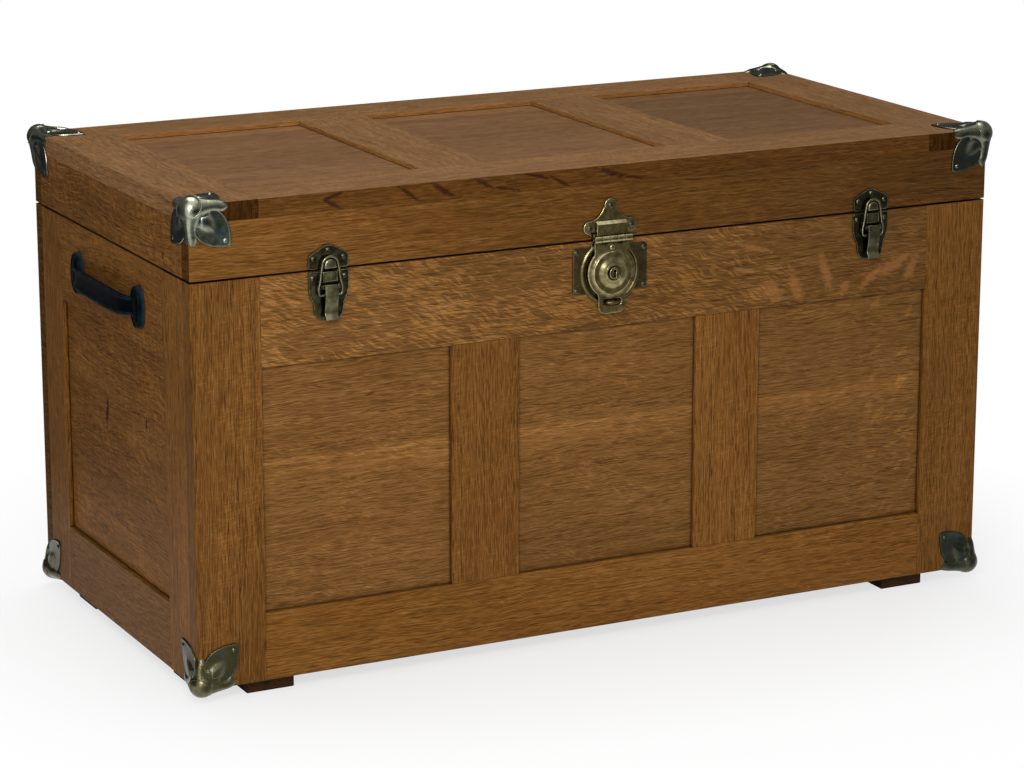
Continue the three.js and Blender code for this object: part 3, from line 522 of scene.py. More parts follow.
@dataclass(frozen=True)
class AgedBrass:
    """Yellow brass, pressed or cast, darkened by an antiquing bath and rubbed back.

    Flat faces and creases keep a green-brown skin with steel-blue blooms, while domes, rolled edges
    and nail heads show the paler metal, with soft broad highlights. Tight corners, gaps and the rims
    round nails darken towards near-black, partly the bath's dark patina and partly painted shade. The
    mottle is a size in mm, and a scale counts features per mm.
    """

    name: str
    bright: str
    skin: str
    # Near-black for corners, gaps and nail rims: partly the bath's dark patina, partly painted shade.
    crease_stain_and_shade: str = "#0b0c09"
    bloom: str = "#2a3d47"
    patina: float = 0.0
    mottle: float = 8.0
    bloom_scale: float = 0.07
    grit_scale: float = 0.9
    patches: float = 0.36
    rub: float = 1.0
    roughness: float = 0.25
    crease_stain_and_shade_width: float = 3.0

    def material(self) -> Material:
        """Builds the material.

        Returns:
            The material.
        """
        material, tree = blank_material(self.name)
        coords = add_node(tree, "ShaderNodeTexCoord").node.outputs
        size = add_node(
            tree, "ShaderNodeVectorMath", {0: coords["Object"], 1: (1 / MM,) * 3}, operation="MULTIPLY"
        )
        cloud = add_node(
            tree,
            "ShaderNodeTexNoise",
            {"Vector": size, "Scale": 1 / self.mottle, "Detail": 5.0, "Roughness": 0.6},
        )
        grit = add_node(tree, "ShaderNodeTexNoise", {"Vector": size, "Scale": self.grit_scale, "Detail": 2.0})
        turned = add_node(tree, "ShaderNodeVectorMath", {0: coords["Normal"]}, operation="ABSOLUTE")
        faces = add_node(tree, "ShaderNodeSeparateXYZ", {"Vector": turned}).node.outputs
        flat = add_node(tree, "ShaderNodeMath", {0: faces["X"], 1: faces["Y"]}, operation="MAXIMUM")
        flat = add_node(tree, "ShaderNodeMath", {0: flat, 1: faces["Z"]}, operation="MAXIMUM")
        rubbed = add_node(tree, "ShaderNodeMapRange", {"Value": flat, "From Min": 0.995, "From Max": 0.88})
        rubbed = add_node(tree, "ShaderNodeMath", {0: rubbed, 1: self.rub}, operation="MULTIPLY")
        patch = add_node(tree, "ShaderNodeMapRange", {"Value": cloud, "From Min": 0.36, "From Max": 0.68})
        share = add_node(
            tree, "ShaderNodeMath", {0: patch, 1: self.patches, 2: rubbed}, operation="MULTIPLY_ADD"
        )
        worn = add_node(tree, "ShaderNodeMath", {0: cloud, 1: 1.5}, operation="MULTIPLY")
        share = add_node(tree, "ShaderNodeMath", {0: share, 1: worn}, operation="MULTIPLY", use_clamp=True)
        skin: Any = linear(self.skin)
        if self.patina:
            blue = add_node(
                tree, "ShaderNodeTexNoise", {"Vector": size, "Scale": self.bloom_scale, "Detail": 2.0}
            )
            blue = add_node(
                tree,
                "ShaderNodeMapRange",
                {"Value": blue, "From Min": 0.48, "From Max": 0.66, "To Max": self.patina},
            )
            skin = add_node(
                tree, "ShaderNodeMix", {"Factor": blue, "A": skin, "B": linear(self.bloom)}, data_type="RGBA"
            )
        metal = add_node(
            tree, "ShaderNodeMix", {"Factor": share, "A": skin, "B": linear(self.bright)}, data_type="RGBA"
        )
        # Partly dark patina, partly painted shade: the colour goes to near-black where ambient occlusion is
        # low.
        open_sky = add_node(
            tree, "ShaderNodeAmbientOcclusion", {"Distance": self.crease_stain_and_shade_width * MM}, samples=6
        ).node.outputs["AO"]
        open_sky = add_node(
            tree, "ShaderNodeMapRange", {"Value": open_sky, "From Min": 0.35, "From Max": 0.9}
        )
        metal = add_node(
            tree,
            "ShaderNodeMix",
            {"Factor": open_sky, "A": linear(self.crease_stain_and_shade), "B": metal},
            data_type="RGBA",
        )
        rough = add_node(
            tree,
            "ShaderNodeMapRange",
            {"Value": grit, "To Min": self.roughness - 0.07, "To Max": self.roughness + 0.1},
        )
        bump = add_node(tree, "ShaderNodeBump", {"Height": cloud, "Strength": 0.3, "Distance": 0.5 * MM})
        close_material(tree, {"Base Color": metal, "Metallic": 1.0, "Roughness": rough, "Normal": bump})
        return material


@dataclass(frozen=True)
class BlackIron:
    """Malleable iron, sand-cast and dipped in black enamel.

    The eye sees a blue-black skin with the casting's slight grain and a blue sheen, and on the raised
    beads and edges a paler blue-grey: partly worn metal where hands rub, partly a painted highlight.
    """

    name: str = "enamelled_cast_iron"
    skin: str = "#04090d"
    # Painted highlight and wear: the blue-grey laid on raised beads and edges.
    worn: str = "#2b3d47"
    sheen: str = "#7fb0cc"
    grain: float = 1.6
    cloud_scale: float = 0.06

    def material(self) -> Material:
        """Builds the material.

        Returns:
            The material.
        """
        material, tree = blank_material(self.name)
        coords = add_node(tree, "ShaderNodeTexCoord").node.outputs
        size = add_node(
            tree, "ShaderNodeVectorMath", {0: coords["Object"], 1: (1 / MM,) * 3}, operation="MULTIPLY"
        )
        cast = add_node(tree, "ShaderNodeTexNoise", {"Vector": size, "Scale": 1 / self.grain, "Detail": 3.0})
        cloud = add_node(
            tree, "ShaderNodeTexNoise", {"Vector": size, "Scale": self.cloud_scale, "Detail": 3.0}
        )
        wear_and_glint = add_node(tree, "ShaderNodeAttribute", attribute_name="wear_and_glint").node.outputs["Fac"]
        wear_and_glint = add_node(tree, "ShaderNodeMath", {0: wear_and_glint, 1: cloud}, operation="MULTIPLY")
        wear_and_glint = add_node(tree, "ShaderNodeMapRange", {"Value": wear_and_glint, "From Min": 0.14, "From Max": 0.6})
        colour = add_node(
            tree,
            "ShaderNodeMix",
            {"Factor": wear_and_glint, "A": linear(self.skin), "B": linear(self.worn)},
            data_type="RGBA",
        )
        rough = add_node(tree, "ShaderNodeMapRange", {"Value": cast, "To Min": 0.2, "To Max": 0.38})
        bump = add_node(tree, "ShaderNodeBump", {"Height": cast, "Strength": 0.4, "Distance": 0.4 * MM})
        skin = {"Base Color": colour, "Roughness": rough, "Normal": bump}
        skin |= {"Specular IOR Level": 0.05, "Specular Tint": linear(self.sheen)}
        close_material(tree, skin)
        return material


# Mesh tools


def arc(centre: Point, radius: float, start: float, end: float, steps: int = 12) -> list[Point]:
    """Points on an arc, from one angle to another in degrees."""
    angles = [math.radians(start + (end - start) * step / steps) for step in range(steps + 1)]
    return [(centre[0] + radius * math.cos(a), centre[1] + radius * math.sin(a)) for a in angles]


def bend(ends: Sequence[Point], steps: int = 10) -> list[Point]:
    """Points on a smooth curve from the first to the last of three or four points that pull it.

    Args:
        ends: the points that pull the curve, from its start to its end.
        steps: how many pieces the curve has.

    Returns:
        Points along the curve, with both ends.
    """
    made = []
    for step in range(steps + 1):
        level = [Vector(p) for p in ends]
        while len(level) > 1:
            level = [a.lerp(b, step / steps) for a, b in zip(level, level[1:])]
        made.append(tuple(level[0]))
    return made


def mirrored(half: Sequence[Point]) -> list[Point]:
    """A closed outline from its right half, drawn from the bottom to the top."""
    return [*half, *[(-x, y) for x, y in reversed(half)]]


def mesh_from(build: BMesh, name: str = "part") -> Mesh:
    """Turns a bmesh into a mesh with its faces out, and frees it.

    Args:
        build: the mesh under work, which is used up.
        name: the finished mesh's name.

    Returns:
        The finished mesh.
    """
    bmesh.ops.recalc_face_normals(build, faces=build.faces)
    mesh = bpy.data.meshes.new(name)
    build.to_mesh(mesh)
    build.free()
    return mesh


def joined(meshes: Iterable[Mesh]) -> Mesh:
    """One mesh from several, each with its own faces.

    Args:
        meshes: meshes in the same frame.

    Returns:
        One mesh with all their faces and the faces' material numbers.
    """
    build = bmesh.new()
    for mesh in meshes:
        build.from_mesh(mesh)
    made = bpy.data.meshes.new("joined")
    build.to_mesh(made)
    build.free()
    return made


def painted(mesh: Mesh, number: int) -> Mesh:
    """Gives every face of a mesh the material of this number."""
    mesh.polygons.foreach_set("material_index", [number] * len(mesh.polygons))
    return mesh


def placed(mesh: Mesh, plane: Matrix, at: Sequence[float] = (0, 0, 0)) -> Mesh:
    """Turns a mesh into a drawing plane and moves it, still in millimetres."""
    mesh.transform(Matrix.Translation(Vector(at)) @ plane)
    return mesh


def evaluated(thing: Object) -> Mesh:
    """The final mesh of an object, which is then removed.

    Args:
        thing: a curve, or a mesh with modifiers, that is not in the scene yet.

    Returns:
        Its mesh with the modifiers applied.
    """
    bpy.context.scene.collection.objects.link(thing)
    graph = bpy.context.evaluated_depsgraph_get()
    mesh = bpy.data.meshes.new_from_object(thing.evaluated_get(graph))
    bpy.data.objects.remove(thing)
    return mesh


def plate(
    outline: Sequence[Point],
    thickness: float,
    rounding: float,
    holes: Sequence[Sequence[Point]] = (),
    plane: Matrix = FRONT,
    back: float = 0.0,
) -> Mesh:
    """A flat plate with rounded edges.

    Args:
        outline: the closed outline in the drawing plane.
        thickness: from the back to the front.
        rounding: radius of its edges.
        holes: closed outlines that are left open.
        plane: the drawing plane.
        back: how far the back lies from the plane.

    Returns:
        The mesh, in millimetres.
    """
    curve = bpy.data.curves.new("plate", "CURVE")
    curve.dimensions = "2D"
    curve.fill_mode = "BOTH"
    for points in (outline, *holes):
        spline = curve.splines.new("POLY")
        spline.points.add(len(points) - 1)
        for target, point in zip(spline.points, points):
            target.co = (*point, 0, 1)
        spline.use_cyclic_u = True
    curve.bevel_depth = rounding
    curve.bevel_resolution = 2
    curve.offset = -rounding
    curve.extrude = thickness / 2 - rounding
    mesh = evaluated(bpy.data.objects.new("plate", curve))
    build = bmesh.new()
    build.from_mesh(mesh)
    bmesh.ops.remove_doubles(build, verts=build.verts, dist=1e-4)
    bmesh.ops.translate(build, verts=build.verts, vec=(0, 0, back + thickness / 2))
    return placed(mesh_from(build), plane)


def wire(points: Sequence[Sequence[float]], radius: float) -> Mesh:
    """A round wire along points in millimetres, with closed ends.

    Args:
        points: the points that it runs through.
        radius: the wire's radius in mm.

    Returns:
        The wire's mesh.
    """
    curve = bpy.data.curves.new("wire", "CURVE")
    curve.dimensions = "3D"
    curve.bevel_depth = radius
    curve.bevel_resolution = 4
    curve.use_fill_caps = True
    spline = curve.splines.new("BEZIER")
    spline.resolution_u = 8
    spline.bezier_points.add(len(points) - 1)
    for target, point in zip(spline.bezier_points, points):
        target.co = point
        target.handle_left_type = target.handle_right_type = "AUTO"
    build = bmesh.new()
    build.from_mesh(evaluated(bpy.data.objects.new("wire", curve)))
    bmesh.ops.remove_doubles(build, verts=build.verts, dist=1e-4)
    return mesh_from(build)


def lathe(profile: Sequence[Point], steps: int = 48, plane: Matrix = FRONT) -> Mesh:
    """A turned piece from radius and height pairs; height runs outwards from the plane.

    Args:
        profile: radius and height of each point, from one end to the other.
        steps: how many pieces the turn has.
        plane: the matrix that turns the axis from Z.

    Returns:
        The turned mesh.
    """
    build = bmesh.new()
    turns = [2 * math.pi * step / steps for step in range(steps)]
    rings = []
    for radius, height in profile:
        if radius < 1e-6:
            rings.append([build.verts.new((0, 0, height))] * steps)
        else:
            spots = [(radius * math.cos(a), radius * math.sin(a), height) for a in turns]
            rings.append([build.verts.new(spot) for spot in spots])
    for low, high in zip(rings, rings[1:]):
        for step in range(steps):
            after = (step + 1) % steps
            corners = dict.fromkeys((low[step], low[after], high[after], high[step]))
            if len(corners) > 2:
                build.faces.new(corners)
    bmesh.ops.remove_doubles(build, verts=build.verts, dist=1e-5)
    return placed(mesh_from(build), plane)


def loft(rings: Iterable[Sequence[Sequence[float]]]) -> Mesh:
    """A closed skin over rings that all have the same number of points.

    Args:
        rings: rings of points, all with the same number of points.

    Returns:
        The closed skin over the rings.
    """
    build = bmesh.new()
    made = [[build.verts.new(spot) for spot in ring] for ring in rings]
    for low, high in zip(made, made[1:]):
        for step in range(len(low)):
            after = (step + 1) % len(low)
            build.faces.new((low[step], low[after], high[after], high[step]))
    build.faces.new(made[0])
    build.faces.new(list(reversed(made[-1])))
    return mesh_from(build)


def domed(outline: Sequence[Point], centre: Point, stages: Sequence[Point]) -> Mesh:
    """A closed raised form on the front, whose outline shrinks towards a centre as it rises.

    Args:
        outline: the closed outline at the back.
        centre: the point that it shrinks to.
        stages: pairs of the outline's scale and its height, from the back outwards.

    Returns:
        The mesh, in millimetres.
    """
    middle = Vector(centre)
    arms = [Vector(point) - middle for point in outline]
    rings = [[(*(middle + arm * share), height) for arm in arms] for share, height in stages]
    return placed(loft(rings), FRONT)


def rod_across(radius: float, start: float, end: float, at: Point, ease: float = 0.3) -> Mesh:
    """A round bar along X with eased ends, at a place in Y and Z.

    Args:
        radius: the radius in mm.
        start: where it begins, in mm.
        end: where it ends, in mm.
        at: its place in Y and Z, in mm.
        ease: the width of the rounded edge at its ends, in mm.

    Returns:
        The rod's mesh.
    """
    profile = [(0, start), (radius - ease, start), (radius, start + ease)]
    profile += [(radius, end - ease), (radius - ease, end), (0, end)]
    return placed(lathe(profile, 28, UPRIGHT), ACROSS, (0, *at))


def sleeve_across(
    bore: float, radius: float, span: Point, at: Point = (0, 0), inset: float = 0.3, steps: int = 28
) -> Mesh:
    """A tube along X with eased rims, at a place in Y and Z.

    Args:
        bore: the hole's radius in mm.
        radius: the tube's radius in mm.
        span: where it begins and ends, in mm.
        at: its place in Y and Z, in mm.
        inset: how much smaller its end faces are than the tube, in mm.
        steps: how many pieces the turn has.

    Returns:
        The tube's mesh.
    """
    start, end = span
    rim, ease = radius - inset, 0.3
    wall = [(bore, start), (rim, start), (radius, start + ease)]
    wall += [(radius, end - ease), (rim, end), (bore, end), (bore, start)]
    return placed(lathe(wall, steps, UPRIGHT), ACROSS, (0, *at))


def knuckle_spans(length: float, count: int, first: int) -> list[Point]:
    """Where every second knuckle of a hinge begins and ends, with play between them.

    Args:
        length: the hinge's length in mm.
        count: how many knuckles its two halves have.
        first: the first knuckle that is counted, 0 or 1.

    Returns:
        The start and end of each, in mm from the hinge's middle.
    """
    pitch, play = length / count, 0.2
    starts = [index * pitch - length / 2 + play for index in range(first, count, 2)]
    return [(start, start + pitch - 2 * play) for start in starts]


def block(low: Sequence[float], high: Sequence[float], rounding: float) -> Mesh:
    """A box between two corners with rounded edges.

    Args:
        low: the lowest corner.
        high: the highest corner.
        rounding: the radius of its edges, in mm.

    Returns:
        The block's mesh.
    """
    build = bmesh.new()
    bmesh.ops.create_cube(build, size=1.0)
    size = [h - l for l, h in zip(low, high)]
    middle = [(h + l) / 2 for l, h in zip(low, high)]
    bmesh.ops.scale(build, verts=build.verts, vec=size)
    bmesh.ops.translate(build, verts=build.verts, vec=middle)
    if rounding:
        bmesh.ops.bevel(build, geom=build.edges[:], offset=rounding, segments=3, profile=0.5, affect="EDGES")
    return mesh_from(build)


def ribbon(points: Sequence[Point], thickness: Callable[[float], float], steps: int = 24) -> list[Point]:
    """The closed outline of a strip along a smooth line through points, of varying thickness.

    Args:
        points: the points that it runs through.
        thickness: the thickness at each share of the length.
        steps: about how many pieces the line has.

    Returns:
        The outline of the strip, down one side and back along the other.
    """
    curve = bpy.data.curves.new("line", "CURVE")
    spline = curve.splines.new("BEZIER")
    spline.resolution_u = max(2, steps // (len(points) - 1))
    spline.bezier_points.add(len(points) - 1)
    for target, point in zip(spline.bezier_points, points):
        target.co = (*point, 0)
        target.handle_left_type = target.handle_right_type = "AUTO"
    mesh = evaluated(bpy.data.objects.new("line", curve))
    line = [Vector(v.co[:2]) for v in mesh.vertices]
    sides: tuple[list[Point], list[Point]] = ([], [])
    for index, here in enumerate(line):
        ahead = line[min(index + 1, len(line) - 1)] - line[max(index - 1, 0)]
        normal = Vector((-ahead.y, ahead.x)).normalized()
        half = thickness(index / (len(line) - 1)) / 2
        sides[0].append(tuple(here + normal * half))
        sides[1].append(tuple(here - normal * half))
    return [*sides[0], *reversed(sides[1])]


def nail(at: Point, plate_face: float, radius: float = 2.9, height: float = 1.6) -> Mesh:
    """A domed nail head with a small flange, standing on a plate of the front.

    Args:
        at: the nail's place on the plate, in mm.
        plate_face: how far the plate's face stands off the wood, in mm.
        radius: the head's radius in mm.
        height: how far the head stands up, in mm.

    Returns:
        The nail head's mesh.
    """
    profile = [(0, -0.6), (radius, -0.6), (radius, 0.25), (0.86 * radius, 0.5)]
    profile += [(0.78 * radius, 0.62 * height), (0.5 * radius, 0.9 * height), (0, height)]
    mesh = lathe(profile, 20)
    return placed(mesh, UPRIGHT, (at[0], -plate_face, at[1]))


def show(
    name: str,
    mesh: Mesh,
    body: str,
    nodes: Sequence[str],
    materials: Sequence[Material],
    sharp: float = 38.0,
) -> Object:
    """Adds a piece of the chest on its body and hides the CAD nodes that it stands for.

    Args:
        name: the piece's name.
        mesh: its mesh in metres, in the row frame.
        body: the CAD body that it rides on.
        nodes: the CAD nodes that it stands for.
        materials: its materials, in the order of the faces' numbers.
        sharp: edges turned by more than this many degrees stay sharp.

    Returns:
        The new object.
    """
    mesh.name = name
    for material in materials:
        mesh.materials.append(material)
    mesh.shade_smooth()
    mesh.set_sharp_from_angle(angle=math.radians(sharp))
    made = bpy.data.objects.new(name, mesh)
    bpy.context.scene.collection.objects.link(made)
    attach(made, body)
    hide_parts(*nodes)
    log.info("%s rides on %s", name, body)
    return made


# Woodwork


class Lay(Enum):
    """Which way a board's grain runs."""

    ALONG_X = 0
    ALONG_Y = 1
    ALONG_Z = 2


@dataclass(frozen=True)
class Board:
    """One board: its CAD node, its grain, its finish and its tone, a level that its colour is multiplied by.

    The tones are set board by board: partly the stain's own variation, partly painted light and shade,
    with the left side's boards darker and the lid's panels lighter on the left and darker on the right.

    A tongue's length at both ends lies in its neighbours' sawn ends and looks like them.
    """

    node: str
    lay: Lay
    finish: StainedOak
    body: str = "body"
    tone: float = 1.0
    side_tone: float = 1.0
    slot: str = "oak"
    edge: StainedOak | None = None
    ends: StainedOak | None = None
    tongue: float = 0.0


@dataclass
class Woodwork:
    """The frames, panels and feet: every board with planed, eased edges and its own grain.

    A free edge is eased by free_ease; one that lies on a neighbour in part or in full takes
    mixed_share or joint_share of that. Lengths are millimetres, apart from weld, in metres.
    """

    boards: tuple[Board, ...]
    free_ease: float = 1.3
    mixed_share: float = 0.4
    joint_share: float = 0.14
    touching: float = 0.35
    seam_at: float = 22.3
    weld: float = 1e-6
    facing: float = 0.9
    wraps: tuple[int, int, int] = (997, 991, 983)
    stride: float = 7.3
    materials: dict[str, Material] = field(default_factory=dict)

    def dress(self) -> None:
        """Builds every board."""
        for board in self.boards:
            if board.node.endswith("_post"):
                self.add_post(board)
            else:
                self.add_board(board, board.node + "_board", self.clean_copy(board.node))

    def clean_copy(self, node: str) -> BMesh:
        """The CAD board as flat faces, ready to be eased.

        Args:
            node: the CAD node.

        Returns:
            The board's mesh without doubled points.
        """
        build = bmesh.new()
        build.from_mesh(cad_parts[node].data)
        bmesh.ops.remove_doubles(build, verts=build.verts, dist=self.weld)
        bmesh.ops.dissolve_limit(build, angle_limit=math.radians(0.5), verts=build.verts, edges=build.edges)
        return build

    def add_post(self, board: Board) -> None:
        """A corner post is two boards, a front stile over the edge of a side stile.

        Args:
            board: the post, with its grain and finish.
        """
        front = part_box(board.node)[0].y + self.seam_at * MM
        for part, outer in (("front", True), ("side", False)):
            build = self.clean_copy(board.node)
            geometry = build.verts[:] + build.edges[:] + build.faces[:]
            bmesh.ops.bisect_plane(
                build,
                geom=geometry,
                dist=self.weld,
                plane_co=(0, front, 0),
                plane_no=(0, 1, 0),
                clear_outer=outer,
                clear_inner=not outer,
            )
            bmesh.ops.holes_fill(build, edges=[e for e in build.edges if e.is_boundary])
            bmesh.ops.recalc_face_normals(build, faces=build.faces)
            tone = board.tone * (1.0 if outer else board.side_tone)
            self.add_board(replace(board, tone=tone), f"{board.node}_{part}_board", build)

    def neighbours(self, node: str) -> BVHTree:
        """The surfaces of all other boards.

        Args:
            node: the CAD node.

        Returns:
            A tree of the other boards' faces.
        """
        build = bmesh.new()
        for board in self.boards:
            if board.node != node:
                build.from_mesh(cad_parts[board.node].data)
        tree = BVHTree.FromBMesh(build)
        build.free()
        return tree

    def ease_edges(self, build: BMesh, near: BVHTree) -> None:
        """Weights each outward edge: a free one is eased most, a flush joint hardly at all.

        Args:
            build: the board's mesh.
            near: the surfaces of the boards around it.
        """
        weight = build.edges.layers.float.new("bevel_weight_edge")
        for edge in build.edges:
            if len(edge.link_faces) != 2 or edge.calc_face_angle_signed() < math.radians(30):
                continue
            first, last = (v.co for v in edge.verts)
            spots = [first.lerp(last, share) for share in (0.08, 0.3, 0.5, 0.7, 0.92)]
            near_count = sum(near.find_nearest(s, self.touching * MM)[0] is not None for s in spots)
            if near_count > len(spots) - 2:
                edge[weight] = self.joint_share
            else:
                edge[weight] = self.mixed_share if near_count else 1.0

    def both_grains(self, finish: StainedOak) -> tuple[Material, Material]:
        """The materials of a finish's faces and of its sawn ends.

        Args:
            finish: the oak as it runs along the board.

        Returns:
            The material along the board and the one on its ends.
        """
        if finish.name not in self.materials:
            self.materials[finish.name] = finish.material()
            self.materials[finish.name + "_end"] = finish.material(end_grain=True)
        return self.materials[finish.name], self.materials[finish.name + "_end"]

    def own_place(self, name: str) -> Vector:
        """A far-off place in the endless grain for each board, so that no two share a pattern.

        Args:
            name: the name of the piece.

        Returns:
            The place along, across and into the grain, in mm.
        """
        seed = zlib.crc32(name.encode())
        first, second, third = self.wraps
        spot = (seed % first, seed // first % second, seed // (first * second) % third)
        return Vector(spot) * self.stride

    def part_tongues(self, build: BMesh, along: int, middle: Vector, bare: float) -> None:
        """Cuts the faces where the tongues at a board's ends begin; the shape stays as it is.

        Args:
            build: the board's mesh.
            along: the axis of its grain.
            middle: the board's middle.
            bare: the distance from there to each tongue, in metres.
        """
        for side in (-1, 1):
            outwards = Vector([side if axis == along else 0 for axis in range(3)])
            geometry = build.verts[:] + build.edges[:] + build.faces[:]
            bmesh.ops.bisect_plane(
                build, geom=geometry, dist=self.weld, plane_co=middle + bare * outwards, plane_no=outwards
            )

    def mark_grain(self, build: BMesh, tone: float, low: Vector, order: Sequence[int], shift: Vector) -> None:
        """Writes each corner's place in the board and in the grain, and the board's tone.

        Args:
            build: the board's mesh.
            tone: how light the board is.
            low: the board's lowest corner, in metres.
            order: the axes along the grain, across it and through the board.
            shift: the board's place in the endless grain, in mm.
        """
        layers = build.verts.layers
        grain, place = (layers.float_vector.new(name) for name in ("grain_place", "board_place"))
        level = layers.float.new("board_tone")
        for vertex in build.verts:
            local = Vector([(vertex.co[axis] - low[axis]) / MM for axis in order])
            vertex[place] = local
            vertex[grain] = local + shift
            vertex[level] = tone

    def add_board(self, board: Board, name: str, build: BMesh) -> None:
        """Adds one board with its grain coordinates, its end grain and its eased edges.

        Args:
            board: the board, with its grain and finish.
            name: the name of the piece.
            build: the board's mesh, in the shared frame.
        """
        low = Vector([min(v.co[axis] for v in build.verts) for axis in range(3)])
        high = Vector([max(v.co[axis] for v in build.verts) for axis in range(3)])
        size, middle = high - low, (low + high) / 2
        along = board.lay.value
        wide, thin = sorted((axis for axis in range(3) if axis != along), key=lambda axis: -size[axis])
        bare = size[along] / 2 - board.tongue * MM
        if board.tongue:
            self.part_tongues(build, along, middle, bare)
        self.mark_grain(build, board.tone, low, (along, wide, thin), self.own_place(name))
        for face in build.faces:
            outward = abs(face.calc_center_median()[along] - middle[along])
            if abs(face.normal[along]) > self.facing or outward > bare:
                face.material_index = 1
            # Faces across the board's width may take a third finish; on the lid's recess walls it is a lit
            # copy, painted light.
            elif board.edge and abs(face.normal[wide]) > self.facing:
                face.material_index = 2
        self.ease_edges(build, self.neighbours(board.node))
        weight = build.edges.layers.float["bevel_weight_edge"]
        for edge in build.edges if board.ends else ():
            sawn = all(abs(v.co[along] - middle[along]) > bare - 10 * self.weld for v in edge.verts)
            if sawn and edge[weight] < 1.0:
                edge[weight] = 0.0
        mesh = bpy.data.meshes.new(name)
        build.to_mesh(mesh)
        build.free()
        kinds = [self.both_grains(board.finish)[0], self.both_grains(board.ends or board.finish)[1]]
        if board.edge:
            kinds.append(self.both_grains(board.edge)[0])
        made = show(name, mesh, board.body, [board.node], kinds, 30.0)
        ease = made.modifiers.new("eased_edges", "BEVEL")
        ease.width = self.free_ease * MM
        ease.segments = 3
        ease.limit_method = "WEIGHT"
        ease.harden_normals = True


# Brass and iron


